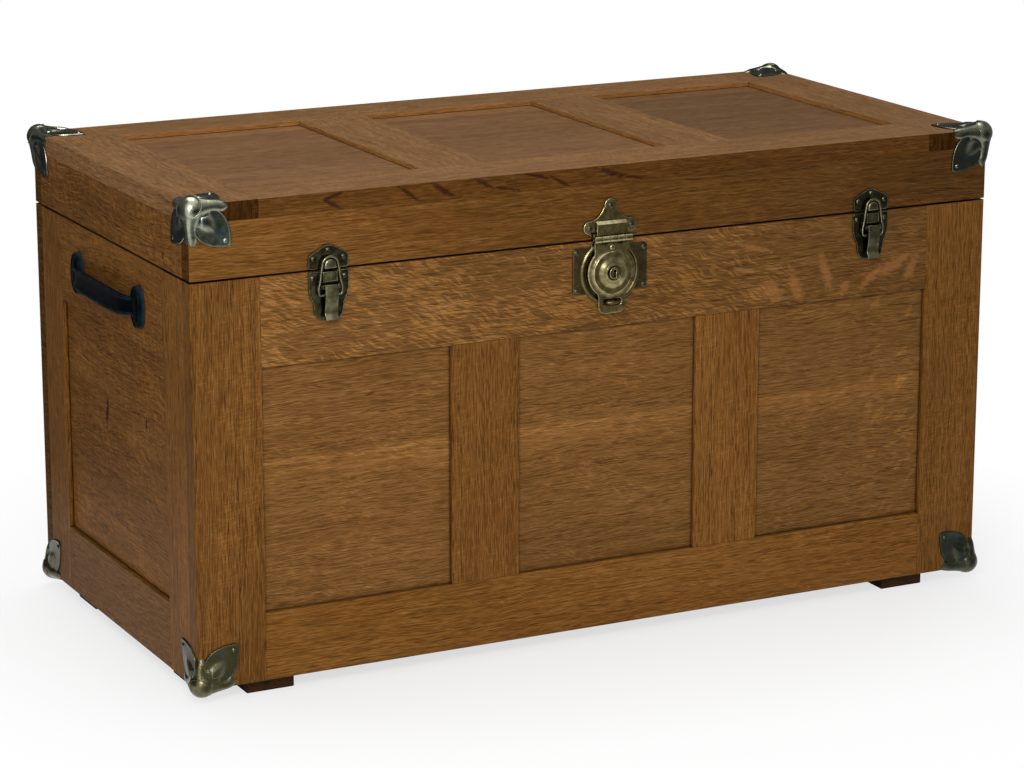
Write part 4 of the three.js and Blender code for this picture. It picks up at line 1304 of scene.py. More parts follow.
@dataclass
class CornerClamp:
    """A pressed brass clamp over a box corner: a bulb, three ridges and three nailed petals.

    It is drawn for the corner whose wood fills the positive octant.
    """

    reach: float = 52.0
    bulb: float = 15.4
    bulb_inset: float = 5.6
    nail_place: float = 43.6
    petal_height: float = 5.8
    dome_place: float = 16.5
    voxel: float = 0.62
    short_ridge: float = 0.82
    stand_off: float = 0.1

    def petal(self) -> Mesh:
        """One broad leaf on the front face with a rolled rim and a domed middle.

        Returns:
            The petal's mesh.
        """
        root, side, pull, lean, flank, shoulder = (
            share * self.reach for share in (0.13, 0.53, 0.755, 0.34, 0.965, 0.83)
        )
        taper = 1.18 * shoulder
        half = [(root, root), *bend(((root, side), (root, pull), (lean, flank), (shoulder, taper)), 14)]
        round_tip = bend(((shoulder, taper), (self.reach, self.reach), (taper, shoulder)), 8)
        other = [(y, x) for x, y in reversed(half[1:])]
        rolled_rim = ((1, 0), (1, 1.2), (0.985, 1.7), (0.965, 1.8), (0.945, 1.5), (0.92, 1.4))
        brim = ((0.8, 1.6), (0.62, 2.1))
        bulge = ((0.5, 0.38), (0.41, 0.54), (0.32, 0.74), (0.24, 0.88), (0.15, 0.97), (0.06, 1.0))
        dome = tuple((scale, share * self.petal_height) for scale, share in bulge)
        outline = [*half, *round_tip[1:-1], *other]
        return domed(outline, (self.dome_place, self.dome_place), (*rolled_rim, *brim, *dome))

    def ridge(self, share: float) -> Mesh:
        """A ridge along the upright edge: a hood that leaves the bulb, a waist and a flat, flared end.

        Args:
            share: how long the ridge is, as a share of the full one.

        Returns:
            The ridge's mesh.
        """
        hood = ((6, 5.6, 11.0), (9, 5.6, 13.6), (13, 5.4, 13.0), (18, 4.4, 10.8), (23, 3.6, 8.8))
        waist = ((29, 3.2, 7.4), (34, 3.8, 7.5), (38.5, 4.8, 7.9), (41.5, 5.3, 7.6))
        tip = ((44.5, 5.3, 6.6), (46.6, 4.8, 5.3), (48.0, 4.3, 4.5), (48.6, 4.0, 0.5))
        turns = [2 * math.pi * step / 36 for step in range(36)]
        return loft(
            [(inset + radius * math.cos(a), inset + radius * math.sin(a), share * along) for a in turns]
            for along, inset, radius in (*hood, *waist, *tip)
        )

    def root(self) -> Mesh:
        """The swelling that fills the valley between two ridges where a petal leaves the bulb.

        Returns:
            The swelling's mesh.
        """
        swell = bmesh.new()
        bmesh.ops.create_uvsphere(swell, u_segments=28, v_segments=14, radius=1.0)
        turn = Matrix.Rotation(math.radians(45), 4, "Y")
        middle, half_sizes = Matrix.Translation((15.5, 0.6, 15.5)), Matrix.Diagonal((14.0, 5.4, 9.5, 1))
        swell.transform(middle @ turn @ half_sizes)
        return mesh_from(swell)

    def collar(self) -> Mesh:
        """The rolled line around the foot of the bulb.

        Returns:
            The line's mesh.
        """
        polar, thick = math.radians(72), 0.75
        radius, lift = self.bulb * math.sin(polar), self.bulb * math.cos(polar)
        ring = lathe([(radius + thick * math.cos(a), lift + thick * math.sin(a)) for a in TURNS], 72, UPRIGHT)
        outwards = Vector((-1, -1, -1)).to_track_quat("Z", "Y").to_matrix().to_4x4()
        return placed(ring, outwards, (self.bulb_inset,) * 3)

    def three_faces(self, third: Mesh) -> list[Mesh]:
        """Copies of one face's share for all three faces of the corner.

        Args:
            third: what one of the three faces carries.

        Returns:
            The three copies.
        """
        parts = [third]
        for _ in range(2):
            parts.append(placed(parts[-1].copy(), ACROSS))
        return parts

    def build(self, upright_share: float) -> Mesh:
        """The whole clamp, a pressed bulb and ridges with nailed petals; the upright ridge may be short.

        Args:
            upright_share: how long the upright ridge is, as a share of the full one.

        Returns:
            The clamp's mesh.
        """
        ball = bmesh.new()
        bmesh.ops.create_uvsphere(ball, u_segments=40, v_segments=20, radius=self.bulb)
        bmesh.ops.translate(ball, verts=ball.verts, vec=(self.bulb_inset,) * 3)
        ridges = [self.ridge(upright_share), *self.three_faces(self.ridge(1.0))[1:]]
        rolled = [*ridges, *self.three_faces(self.root())]
        solid = bpy.data.objects.new("clamp", joined([*rolled, mesh_from(ball)]))
        remesh = solid.modifiers.new("pressed", "REMESH")
        remesh.mode = "VOXEL"
        remesh.voxel_size = self.voxel
        smooth = solid.modifiers.new("smooth", "SMOOTH")
        smooth.factor = 0.5
        smooth.iterations = 6
        wood = bpy.data.objects.new("wood", block((-self.stand_off,) * 3, (90.0,) * 3, 0))
        bpy.context.scene.collection.objects.link(wood)
        trim = solid.modifiers.new("wood", "BOOLEAN")
        trim.operation = "DIFFERENCE"
        trim.solver = "EXACT"
        trim.object = wood
        mesh = evaluated(solid)
        bpy.data.objects.remove(wood)
        leaf = joined([self.petal(), nail((self.nail_place, self.nail_place), 1.5, 2.7, 1.5)])
        leaf.transform(Matrix.Translation((0, -self.stand_off, 0)))
        return joined([mesh, self.collar(), *self.three_faces(leaf)])

    def dress(self, finishes: dict[str, Material]) -> None:
        """Puts a mirrored copy on each of the eight corners, each with a lit or shaded copy of the brass.

        Args:
            finishes: one pressed brass as painted light and shade: lit brightest for the lid's left clamps,
                darker for the lid's right and the body's left, darkest for the body's right.
        """
        low_body, high_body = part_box("front_left_post")[0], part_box("back_board")[1]
        low_lid, high_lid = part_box("lid_left_stile")[0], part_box("lid_right_stile")[1]
        owners = (("body", self.short_ridge, low_body.z, 1), ("lid", 1.0, high_lid.z, -1))
        for owner, share, height, up in owners:
            drawn = self.build(share)
            for name, x, y in (
                ("front_left", 1, 1),
                ("front_right", -1, 1),
                ("back_left", 1, -1),
                ("back_right", -1, -1),
            ):
                mesh = drawn.copy()
                at = (low_body.x if x > 0 else high_body.x, low_lid.y if y > 0 else high_lid.y, height)
                mesh.transform(Matrix.Translation(at) @ Matrix.Diagonal((x * MM, y * MM, up * MM, 1)))
                if x * y * up < 0:
                    mesh.flip_normals()
                node = f"{owner}_{name}_clamp"
                brass = finishes[f"{owner}_left" if x > 0 else f"{owner}_right"]
                show(node + "_pressing", mesh, owner, [node], [brass], 50.0)


@dataclass
class DrawBolt:
    """A draw bolt: a nubbed catch, a shield-shaped base, a lever and a bent wire loop.

    Drawn about the middle of the gap between lid and body, X across, -Y outwards, Z up.
    """

    half_width: float = 25.0
    sheet: float = 1.6
    catch_height: float = 29.0
    shoulder: float = 16.5
    gap_edge: float = 1.4
    base_drop: float = 59.0
    nub_half: float = 7.9
    nub_spring: float = 5.9
    nub_reach: float = 8.5
    axis_drop: float = 19.0
    axis_reach: float = 7.0
    loop_drop: float = 28.5
    lever_half: float = 8.0
    ear_span: Point = (8.4, 10.8)
    wire_radius: float = 1.5
    loop_half: float = 10.0
    foot_half: float = 14.6
    rounding: float = 0.7
    rim_width: float = 0.8
    box_half: float = 9.0
    box_drop: float = 13.4
    box_wall: float = 1.6
    box_rise: float = 7.4
    floor_rise: float = 6.6
    catch_nails: tuple[Point, ...] = ((-18.7, 13.5), (18.7, 13.5), (0, 22.8))
    base_nails: tuple[Point, ...] = ((-19.6, -9.0), (19.6, -9.0))

    def catch(self) -> Mesh:
        """The five-sided plate on the lid with its domed nub.

        Returns:
            The catch's mesh.
        """
        w, top = self.half_width, self.shoulder
        half = [*arc((w - 3, self.gap_edge + 3), 3, -90, 0, 5)]
        half += bend(((w, top - 2.5), (w, top), (w - 2.8, top + 2.0)), 5)
        high = self.catch_height
        half += bend(((6.2, high - 1.7), (2.5, high - 0.4), (0, high - 0.5)), 5)[:-1]
        outline = mirrored(half)
        sheet = plate(outline, self.sheet, self.rounding)
        # The rim takes the paler brass: rubbed wear, and a painted highlight of its lit edge.
        rim = painted(self.rim(outline), 1)
        nub_outline = [(-self.nub_half, self.gap_edge), (self.nub_half, self.gap_edge)]
        nub_outline += arc((0, self.nub_spring), self.nub_half, 0, 180, 16)
        nub = painted(plate(nub_outline, self.nub_reach, 2.8), 1)
        nails = [painted(nail(at, self.sheet), 2) for at in self.catch_nails]
        return joined([sheet, rim, nub, *nails])

    def rim(self, outline: Sequence[Point]) -> Mesh:
        """A rolled edge that stands a little above the sheet, inside its outline.

        Args:
            outline: the plate's outline.

        Returns:
            The rim's mesh.
        """
        line = [(x, -self.sheet + 0.15, z) for x, z in outline]
        curve = bpy.data.curves.new("rim", "CURVE")
        curve.dimensions = "3D"
        curve.bevel_depth = self.rim_width / 2
        curve.bevel_resolution = 2
        spline = curve.splines.new("POLY")
        middle = Vector((0, 0, sum(z for _, z in outline) / len(outline)))
        spline.points.add(len(line) - 1)
        for target, point in zip(spline.points, line):
            inward = (middle - Vector(point)) * Vector((1, 0, 1))
            target.co = (*(Vector(point) + inward.normalized() * self.rim_width * 0.9), 1)
        spline.use_cyclic_u = True
        return evaluated(bpy.data.objects.new("rim", curve))

    def base(self) -> Mesh:
        """The shield-shaped plate on the body with its box, ears and pin.

        Returns:
            The base's mesh.
        """
        w, drop = self.half_width, self.base_drop
        waist, waist_z, tip = 0.76 * w, -0.68 * drop, 0.33 * w
        half = bend(((tip, -drop), (0.66 * w, -drop), (waist, -0.82 * drop), (waist, waist_z)), 9)
        middle = ((w + waist) / 2, (waist_z - 0.46 * drop) / 2)
        half += bend(((waist, waist_z), middle, (w, -0.46 * drop), (w, -0.33 * drop)), 9)[1:]
        half += arc((w - 3, -self.gap_edge - 3), 3, 0, 90, 5)
        outline = mirrored(half)
        sheet = plate(outline, self.sheet, self.rounding)
        # The rim takes the paler brass: rubbed wear, and a painted highlight of its lit edge.
        rim = painted(self.rim(outline), 1)
        left, low, high = -self.box_half, -self.box_drop, -self.gap_edge
        box_frame = [(left, low), (-left, low), (-left, high), (left, high)]
        left, low, high = left + self.box_wall, low + self.box_wall, high - self.box_wall
        box_hole = [(left, low), (-left, low), (-left, high), (left, high)]
        box = painted(plate(box_frame, self.box_rise, 0.6, [box_hole]), 1)
        lap = 0.2
        floor = block((left - lap, -self.floor_rise, low - lap), (lap - left, 0, high + lap), lap)
        nails = [painted(nail(at, self.sheet), 2) for at in self.base_nails]
        ear = [(0.4, -3.3), *arc((self.axis_reach, 0), 3.3, -90, 90, 8), (0.4, 3.3)]
        ear = [(-y, z - self.axis_drop) for y, z in ear]
        ear_inner, ear_outer = self.ear_span
        thick = ear_outer - ear_inner
        ears = [plate(ear, thick, 0.4, plane=ACROSS, back=back) for back in (-ear_outer, ear_inner)]
        axis = (-self.axis_reach, -self.axis_drop)
        pin = rod_across(1.4, -ear_outer - 0.8, ear_outer + 0.8, axis)
        caps = [sorted((side * ear_outer, side * (ear_outer + 1.2))) for side in (-1, 1)]
        heads = [rod_across(2.3, start, end, axis) for start, end in caps]
        return joined([sheet, rim, box, painted(floor, 1), *ears, pin, *heads, *nails])

    def lever(self) -> Mesh:
        """The bowed lever with its hub, flared lip and the barrel that holds the loop.

        Returns:
            The lever's mesh.
        """
        reach, top = self.axis_reach, -self.axis_drop
        bow = ((2.2, 1.6), (2.9, -3.5), (3.3, -10), (2.0, -19), (0.4, -27), (0.4, -31), (4.6, -38.5))
        line = [(-reach - out, top + rise) for out, rise in bow]
        tongue = ribbon(line, lambda share: 2.0 + 0.5 * math.sin(math.pi * share))
        strap = plate(tongue, 2 * self.lever_half, 0.55, plane=ACROSS, back=-self.lever_half)
        width = (-self.lever_half, self.lever_half)
        hub = sleeve_across(1.7, 2.8, width, (-reach, top), 0.2)
        barrel = sleeve_across(1.8, 3.0, width, (-reach, -self.loop_drop), 0.2)
        return joined([strap, hub, barrel])

    def loop(self) -> Mesh:
        """The wire loop: an arch over the nub, legs that spread, and feet turned into the barrel.

        Returns:
            The loop's mesh.
        """
        foot, leg, low = self.foot_half, self.loop_half, -self.loop_drop
        half = [(5.9, low), (9.6, low), (13.2, low + 0.5), (foot, low + 4.2)]
        half += [((foot + leg) / 2 + 0.2, -10.5), (leg, self.nub_spring)]
        top = arc((0, self.nub_spring), leg, 30, 150, 4)
        route = [*half, *top, *[(-x, z) for x, z in reversed(half)]]
        return wire([(x, -self.axis_reach, z) for x, z in route], self.wire_radius)

    def dress(self, dark: Material, olive: Material, studs: Material, origin: Vector) -> None:
        """Puts a draw bolt on each side of the lock.

        Args:
            dark: the plates' brass.
            olive: the brass of the pieces that hands rub, also laid on the plates' rims as wear and painted
                highlight.
            studs: the nails' metal.
            origin: middle of the gap on the front face, in metres.
        """
        for side in ("left", "right"):
            middle = sum(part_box(f"{side}_latch_base"), Vector()) / 2
            at = Vector((middle.x, origin.y, origin.z))
            shift = Matrix.Translation(at) @ Matrix.Scale(MM, 4)
            plates = (dark, olive, studs)
            for part, mesh, body, node, slot, metals in (
                ("catch", self.catch(), "lid", f"{side}_catch", "dark_brass", plates),
                ("base", self.base(), "body", f"{side}_latch_base", "dark_brass", plates),
                ("lever", self.lever(), f"{side}_lever", f"{side}_latch_lever", "lock_brass", (olive,)),
                ("loop", self.loop(), f"{side}_loop", f"{side}_latch_loop", "lock_brass", (olive,)),
            ):
                mesh.transform(shift)
                show(f"{side}_draw_bolt_{part}", mesh, body, [node], metals)


@dataclass
class HaspLock:
    """The lock: a ringed plate, a three-lobed hasp mount, the domed hasp and its key plug."""

    centre_drop: float = 39.0
    ring: float = 40.0
    ring_inner: float = 34.0
    plate_half: float = 49.5
    sheet: float = 1.6
    axis_rise: float = 2.0
    axis_reach: float = 7.6
    knuckle: float = 4.4
    knuckle_half: float = 25.5
    knuckle_count: int = 5
    hasp_back: float = 4.6
    hasp_sheet: float = 2.2
    staple_drop: float = 75.5
    staple_half: float = 7.3
    plug_bore: float = 5.9
    plug_rise: float = 5.7
    screw_across: float = 45.2
    screw_drops: Point = (12.8, 59.2)

    def back_plate(self) -> Mesh:
        """The plate on the body with its raised ring and the staple.

        Returns:
            The plate's mesh.
        """
        w, z = self.plate_half, self.centre_drop
        start = math.degrees(math.acos((64 - z) / self.ring))
        half = arc((0, -z), self.ring, -90, -90 + start, 14)[1:]
        half += [*arc((w - 3, -61), 3, -90, 0, 5), *arc((w - 3, -11), 3, 0, 90, 5)]
        half += [(26.0, -8.0), (25.0, -4.0)]
        sheet = plate(mirrored(half), self.sheet, 0.6)
        mid = (self.ring + self.ring_inner) / 2
        wall = [(self.ring_inner, 0.3), (self.ring, 0.3), (self.ring, 1.6)]
        crest = [(mid + 1.6, 3.0), (mid, 3.5), (mid - 1.6, 3.1)]
        profile = [*wall, *crest, (self.ring_inner, 1.9), wall[0]]
        ring = placed(lathe(profile, 72), UPRIGHT, (0, 0, -z))
        build = bmesh.new()
        build.from_mesh(ring)
        geometry = build.verts[:] + build.edges[:] + build.faces[:]
        bmesh.ops.bisect_plane(
            build, geom=geometry, dist=1e-5, plane_co=(0, 0, -3.6), plane_no=(0, 0, 1), clear_outer=True
        )
        bmesh.ops.holes_fill(build, edges=[e for e in build.edges if e.is_boundary])
        leg = [(self.staple_half, -0.3), (self.staple_half, -5.5), (self.staple_half - 2.1, -9.0)]
        bow = [*((-x, y) for x, y in leg), *reversed(leg)]
        staple = wire([(*spot, -self.staple_drop) for spot in bow], 2.2)
        spots = [(side * self.screw_across, -drop) for side in (-1, 1) for drop in self.screw_drops]
        nails = [painted(nail(spot, self.sheet, 3.2, 1.9), 1) for spot in spots]
        return joined([sheet, mesh_from(build), staple, *nails])

    def knuckles(self, bored: bool) -> list[Mesh]:
        """Every second knuckle of the hasp's hinge; the mount holds the outer ones and the pin.

        Args:
            bored: whether the barrels are bored for the pin.

        Returns:
            The knuckles' meshes.
        """
        at = (-self.axis_reach, self.axis_rise)
        spans = knuckle_spans(2 * self.knuckle_half, self.knuckle_count, 1 if bored else 0)
        made = [sleeve_across(1.9, self.knuckle, span, at) for span in spans]
        if not bored:
            made.append(rod_across(1.6, -self.knuckle_half - 0.6, self.knuckle_half + 0.6, at))
        return made

    def mount(self) -> Mesh:
        """The lobed plate on the lid with the raised, bevelled box under which the hasp turns.

        Returns:
            The mount's mesh.
        """
        lobe, spread, side_z, top_z = 8.0, 28.0, 15.5, 41.0
        half = [(20.5, 1.4), (24.0, 3.5)]
        half += [(27.0, 6.6), *arc((spread, side_z), lobe, -80, 95, 14)]
        half += bend(((spread - 0.7, side_z + lobe), (15.0, 25.5), (12.5, 33.0), (lobe, top_z - 1.0)), 12)[1:]
        half += arc((0, top_z), lobe, -2, 90, 10)[1:-1]
        outline = mirrored(half)
        sheet = plate(outline, 2.1, 0.8)
        box = [(0.1, 6.6), (0.1, 23.0), (3.2, 23.0), (7.2, 19.6), (7.2, 6.6)]
        raised = plate([(-y, z) for y, z in box], 41.0, 0.7, plane=ACROSS, back=-20.5)
        tabs = [
            block((start, -6.9, self.axis_rise), (end, -4.7, 8.4), 0.3)
            for start, end in knuckle_spans(2 * self.knuckle_half, self.knuckle_count, 0)
        ]
        spots = ((-spread, side_z), (spread, side_z), (0, top_z))
        nails = [painted(nail(spot, 2.1, 3.4, 2.0), 1) for spot in spots]
        return joined([sheet, raised, *tabs, *self.knuckles(False), *nails])

    def hasp(self) -> Mesh:
        """The hasp: neck, stepped disc with a domed middle and collar, and the slotted tab.

        Returns:
            The hasp's mesh.
        """
        front = self.hasp_back + self.hasp_sheet
        bore, radius, back = self.plug_bore, 32.0, self.hasp_back
        border = ((31.3, -0.3), (29.8, 0.1), (27.4, 0.15), (26.2, 0.7), (25.5, 1.8), (24.9, 2.3))
        dome = ((23.4, 2.45), (19.4, 2.55), (18.4, 2.8), (15.4, 3.9), (12.4, 4.8), (10.4, 5.1))
        collar = ((9.8, 5.4), (8.6, 5.45), (8.0, 5.0), (bore, 4.9))
        raised = [(r, front + rise) for r, rise in (*border, *dome, *collar)]
        profile = [(bore, back), (radius, back), (radius, back + 1.0), *raised, (bore, back)]
        disc = placed(lathe(profile, 80), UPRIGHT, (0, 0, -self.centre_drop))
        neck_half, tab_half, foot = 23.5, 18.0, -89.0
        low = self.axis_rise - self.knuckle - 0.4
        neck = mirrored([(neck_half, -self.centre_drop), (neck_half, low)])
        neck = plate(neck, self.hasp_sheet, 0.5, back=self.hasp_back)
        tab_side = [*arc((tab_half - 9, foot + 9), 9, -90, 0, 8), (tab_half, -70.0)]
        tab_side += bend(((tab_half, -70.0), (tab_half + 0.6, -64.0), (tab_half + 4, -61.0)), 5)[1:]
        slot_half, slot_high, round_end = 12.4, 4.4, 3
        x, z = slot_half - round_end, slot_high - round_end
        slot_hole = []
        for quarter, (side, up) in enumerate(((1, -1), (1, 1), (-1, 1), (-1, -1))):
            start = 90 * quarter - 90
            slot_hole += arc((side * x, up * z - self.staple_drop), round_end, start, start + 90, 4)
        tab = plate(mirrored(tab_side), self.hasp_sheet, 0.6, [slot_hole], back=self.hasp_back)
        tabs = [
            block((start, -front, low - 2.2), (end, -self.hasp_back, self.axis_rise), 0.3)
            for start, end in knuckle_spans(2 * self.knuckle_half, self.knuckle_count, 1)
        ]
        dot = nail((0, -8.9), front, 3.2, 1.1)
        return joined([disc, neck, tab, *tabs, *self.knuckles(True), dot])

    def key_plug(self) -> Mesh:
        """The turning plug with its keyhole, a round eye over a straight slot.

        Returns:
            The plug's mesh.
        """
        front = self.hasp_back + self.hasp_sheet + self.plug_rise
        hole = [*arc((0, 2.2), 2.1, -55, 235, 12), (-1.3, -4.9), (1.3, -4.9)]
        face = [(7.2 * math.cos(a), 7.2 * math.sin(a)) for a in (2 * math.pi * s / 40 for s in range(40))]
        head = plate(face, 1.8, 0.6, [hole], back=front)
        back, floor, top = self.hasp_back, self.hasp_back + 0.6, front + 0.1
        wide, bore = self.plug_bore, self.plug_bore - 0.7
        shank = lathe([(0, back), (wide, back), (wide, top), (bore, top), (bore, floor), (0, floor)], 32)
        # Painted shade: the bore behind the keyhole takes the dark studs' metal so that the hole reads dark.
        return placed(joined([head, painted(shank, 1)]), UPRIGHT, (0, 0, -self.centre_drop))

    def dress(self, plate_brass: Material, bright: Material, studs: Material, origin: Vector) -> None:
        """Puts the lock in the middle of the front.

        Args:
            plate_brass: the back plate's brass.
            bright: the brass of the mount, the hasp and the plug.
            studs: the screws' metal, also laid in the keyhole's bore as painted shade.
            origin: middle of the gap on the front face, in metres.
        """
        shift = Matrix.Translation(origin) @ Matrix.Scale(MM, 4)
        for name, mesh, body, node, slot, metal in (
            ("lock_plate", self.back_plate(), "body", "lock_back_plate", "dark_brass", plate_brass),
            ("lock_mount", self.mount(), "lid", "hasp_mount", "lock_brass", bright),
            ("lock_hasp", self.hasp(), "hasp", "hasp", "lock_brass", bright),
            ("lock_key_plug", self.key_plug(), "key", "key_plug", "lock_brass", bright),
        ):
            mesh.transform(shift)
            show(name, mesh, body, [node], (metal, studs), 32.0)


@dataclass
class BackHinge:
    """The continuous hinge along the back, drawn about its pin."""

    length: float = 1000.0
    count: int = 15
    knuckle: float = 3.4
    pin: float = 1.5
    stand_off: float = 4.0
    leaf_width: float = 20.0
    leaf_span: Point = (0.25, 0.9)
    rounding: float = 0.08
    bore: float = 1.8
    lap: float = 0.6

    def half(self, on_lid: bool) -> Mesh:
        """One leaf with every second knuckle.

        Args:
            on_lid: whether this is the lid's half.

        Returns:
            The half's mesh.
        """
        near, far = self.leaf_span
        low, high = (near, far) if on_lid else (-far, -near)
        half, edge = self.length / 2, -self.stand_off
        parts = [block((-half, edge - self.leaf_width, low), (half, edge, high), self.rounding)]
        for start, end in knuckle_spans(self.length, self.count, 1 if on_lid else 0):
            parts.append(sleeve_across(self.bore, self.knuckle, (start, end), steps=24))
            parts.append(block((start, edge - self.lap, low), (end, -self.bore - 0.1, high), self.rounding))
        if not on_lid:
            parts.append(rod_across(self.pin, -half + 0.2, half - 0.2, (0, 0)))
        return joined(parts)

    def dress(self, brass: Material) -> None:
        """Puts both leaves on their bodies.

        Args:
            brass: the strip's finish.
        """
        low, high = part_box("hinge_body_leaf")
        at = Vector(((low.x + high.x) / 2, high.y - self.knuckle * MM, high.z - self.knuckle * MM))
        shift = Matrix.Translation(at) @ Matrix.Scale(MM, 4)
        for on_lid, node in ((False, "hinge_body_leaf"), (True, "hinge_lid_leaf")):
            mesh = self.half(on_lid)
            mesh.transform(shift)
            body = "lid" if on_lid else "body"
            show(node + "_strip", mesh, body, [node], [brass])


@dataclass
class SideHandle:
    """A cast handle: a bowed, beaded grip that flares into an oval pad at each end."""

    spread: float = 203.0
    pad_wide: float = 30.0
    pad_high: float = 51.0
    grip_high: float = 25.0
    grip_thick: float = 4.5
    grip_reach: float = 17.0
    wear_and_glint_gain: float = 2.5

    def section(self, swell: float) -> list[Point]:
        """The grip's outline as height and thickness: a channel between a bead along each edge.

        Args:
            swell: how high the section is, as a share of the full one.

        Returns:
            The points of the section.
        """
        h, t = self.grip_high / 2 * swell, self.grip_thick / 2
        bead = ((0, -0.4), (0, 0.8), (0.7, t + 0.7), (2.2, t + 1.3), (3.8, t + 0.9))
        channel = ((4.8, t - 0.5), (5.8, t - 1.1))
        outer = [*((v - h, n) for v, n in (*bead, *channel)), (-h * 0.2, t - 1.2)]
        outer += [(-v, n) for v, n in reversed(outer)]
        inner = [(v, -n) for v, n in ((h - 0.6, t * 0.9), (h * 0.5, t), (-h * 0.5, t), (-h + 0.6, t * 0.9))]
        return [*outer, *inner]

    def grip(self) -> Mesh:
        """The grip, swept along its bow.

        Returns:
            The grip's mesh.
        """
        pad = self.spread / 2
        root = ((-1.0, 0.12), (-0.95, 0.24), (-0.87, 0.58), (-0.76, 0.84))
        span = ((-0.6, 0.95), (-0.3, 0.99), (0.0, 1.0))
        half = [(x * pad, y * self.grip_reach) for x, y in (*root, *span)]
        points = [*half, *[(-x, y) for x, y in reversed(half[:-1])]]
        strip = ribbon(points, lambda share: 0.0, 60)
        line = [Vector(p) for p in strip[: len(strip) // 2]]
        rings = []
        for index, here in enumerate(line):
            ahead = (line[min(index + 1, len(line) - 1)] - line[max(index - 1, 0)]).normalized()
            normal = Vector((-ahead.y, ahead.x))
            swell = 1.1 - 0.3 * abs(here.x / pad) ** 4
            rings.append([(here.x + normal.x * n, -here.y - normal.y * n, v) for v, n in self.section(swell)])
        return loft(rings)

    def pad(self, side: int) -> Mesh:
        """An oval pad: a flat border, a step and a crowned middle.

        Args:
            side: -1 for the left end and 1 for the right.

        Returns:
            The pad's mesh.
        """
        wide, high = self.pad_wide / 2, self.pad_high / 2
        border = ((0, 0.1), (1, 0.1), (1, 6.2), (0.97, 7.3), (0.9, 7.8), (0.83, 7.6), (0.78, 7.1))
        crown = ((0.7, 7.5), (0.6, 8.3), (0.42, 8.8), (0.2, 9.0), (0, 9.0))
        oval = Matrix.Diagonal((wide, 1, high, 1))
        return placed(lathe((*border, *crown), 48), oval, (side * self.spread / 2, 0, 0))

    def dress(self, iron: Material) -> None:
        """Puts a handle on each side.

        Args:
            iron: the casting's finish.
        """
        for side, sign in (("left", -1), ("right", 1)):
            mesh = joined([self.grip(), self.pad(-1), self.pad(1)])
            build = bmesh.new()
            build.from_mesh(mesh)
            # Painted highlight and wear: convex places get a share of the paler blue-grey.
            wear_and_glint = build.verts.layers.float.new("wear_and_glint")
            for vertex in build.verts:
                ways = [(vertex.co - e.other_vert(vertex).co).normalized() for e in vertex.link_edges]
                bulge = sum(vertex.normal.dot(way) for way in ways) / max(1, len(ways))
                vertex[wear_and_glint] = min(1.0, max(0.0, self.wear_and_glint_gain * bulge))
            build.to_mesh(mesh)
            build.free()
            low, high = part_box(f"{side}_handle")
            face = high.x if sign < 0 else low.x
            at = Vector((face, (low.y + high.y) / 2, (low.z + high.z) / 2))
            turn = Matrix.Rotation(sign * math.pi / 2, 4, "Z")
            mesh.transform(Matrix.Translation(at) @ turn @ Matrix.Scale(MM, 4))
            show(f"{side}_cast_handle", mesh, "body", [f"{side}_handle"], [iron])


# Stage


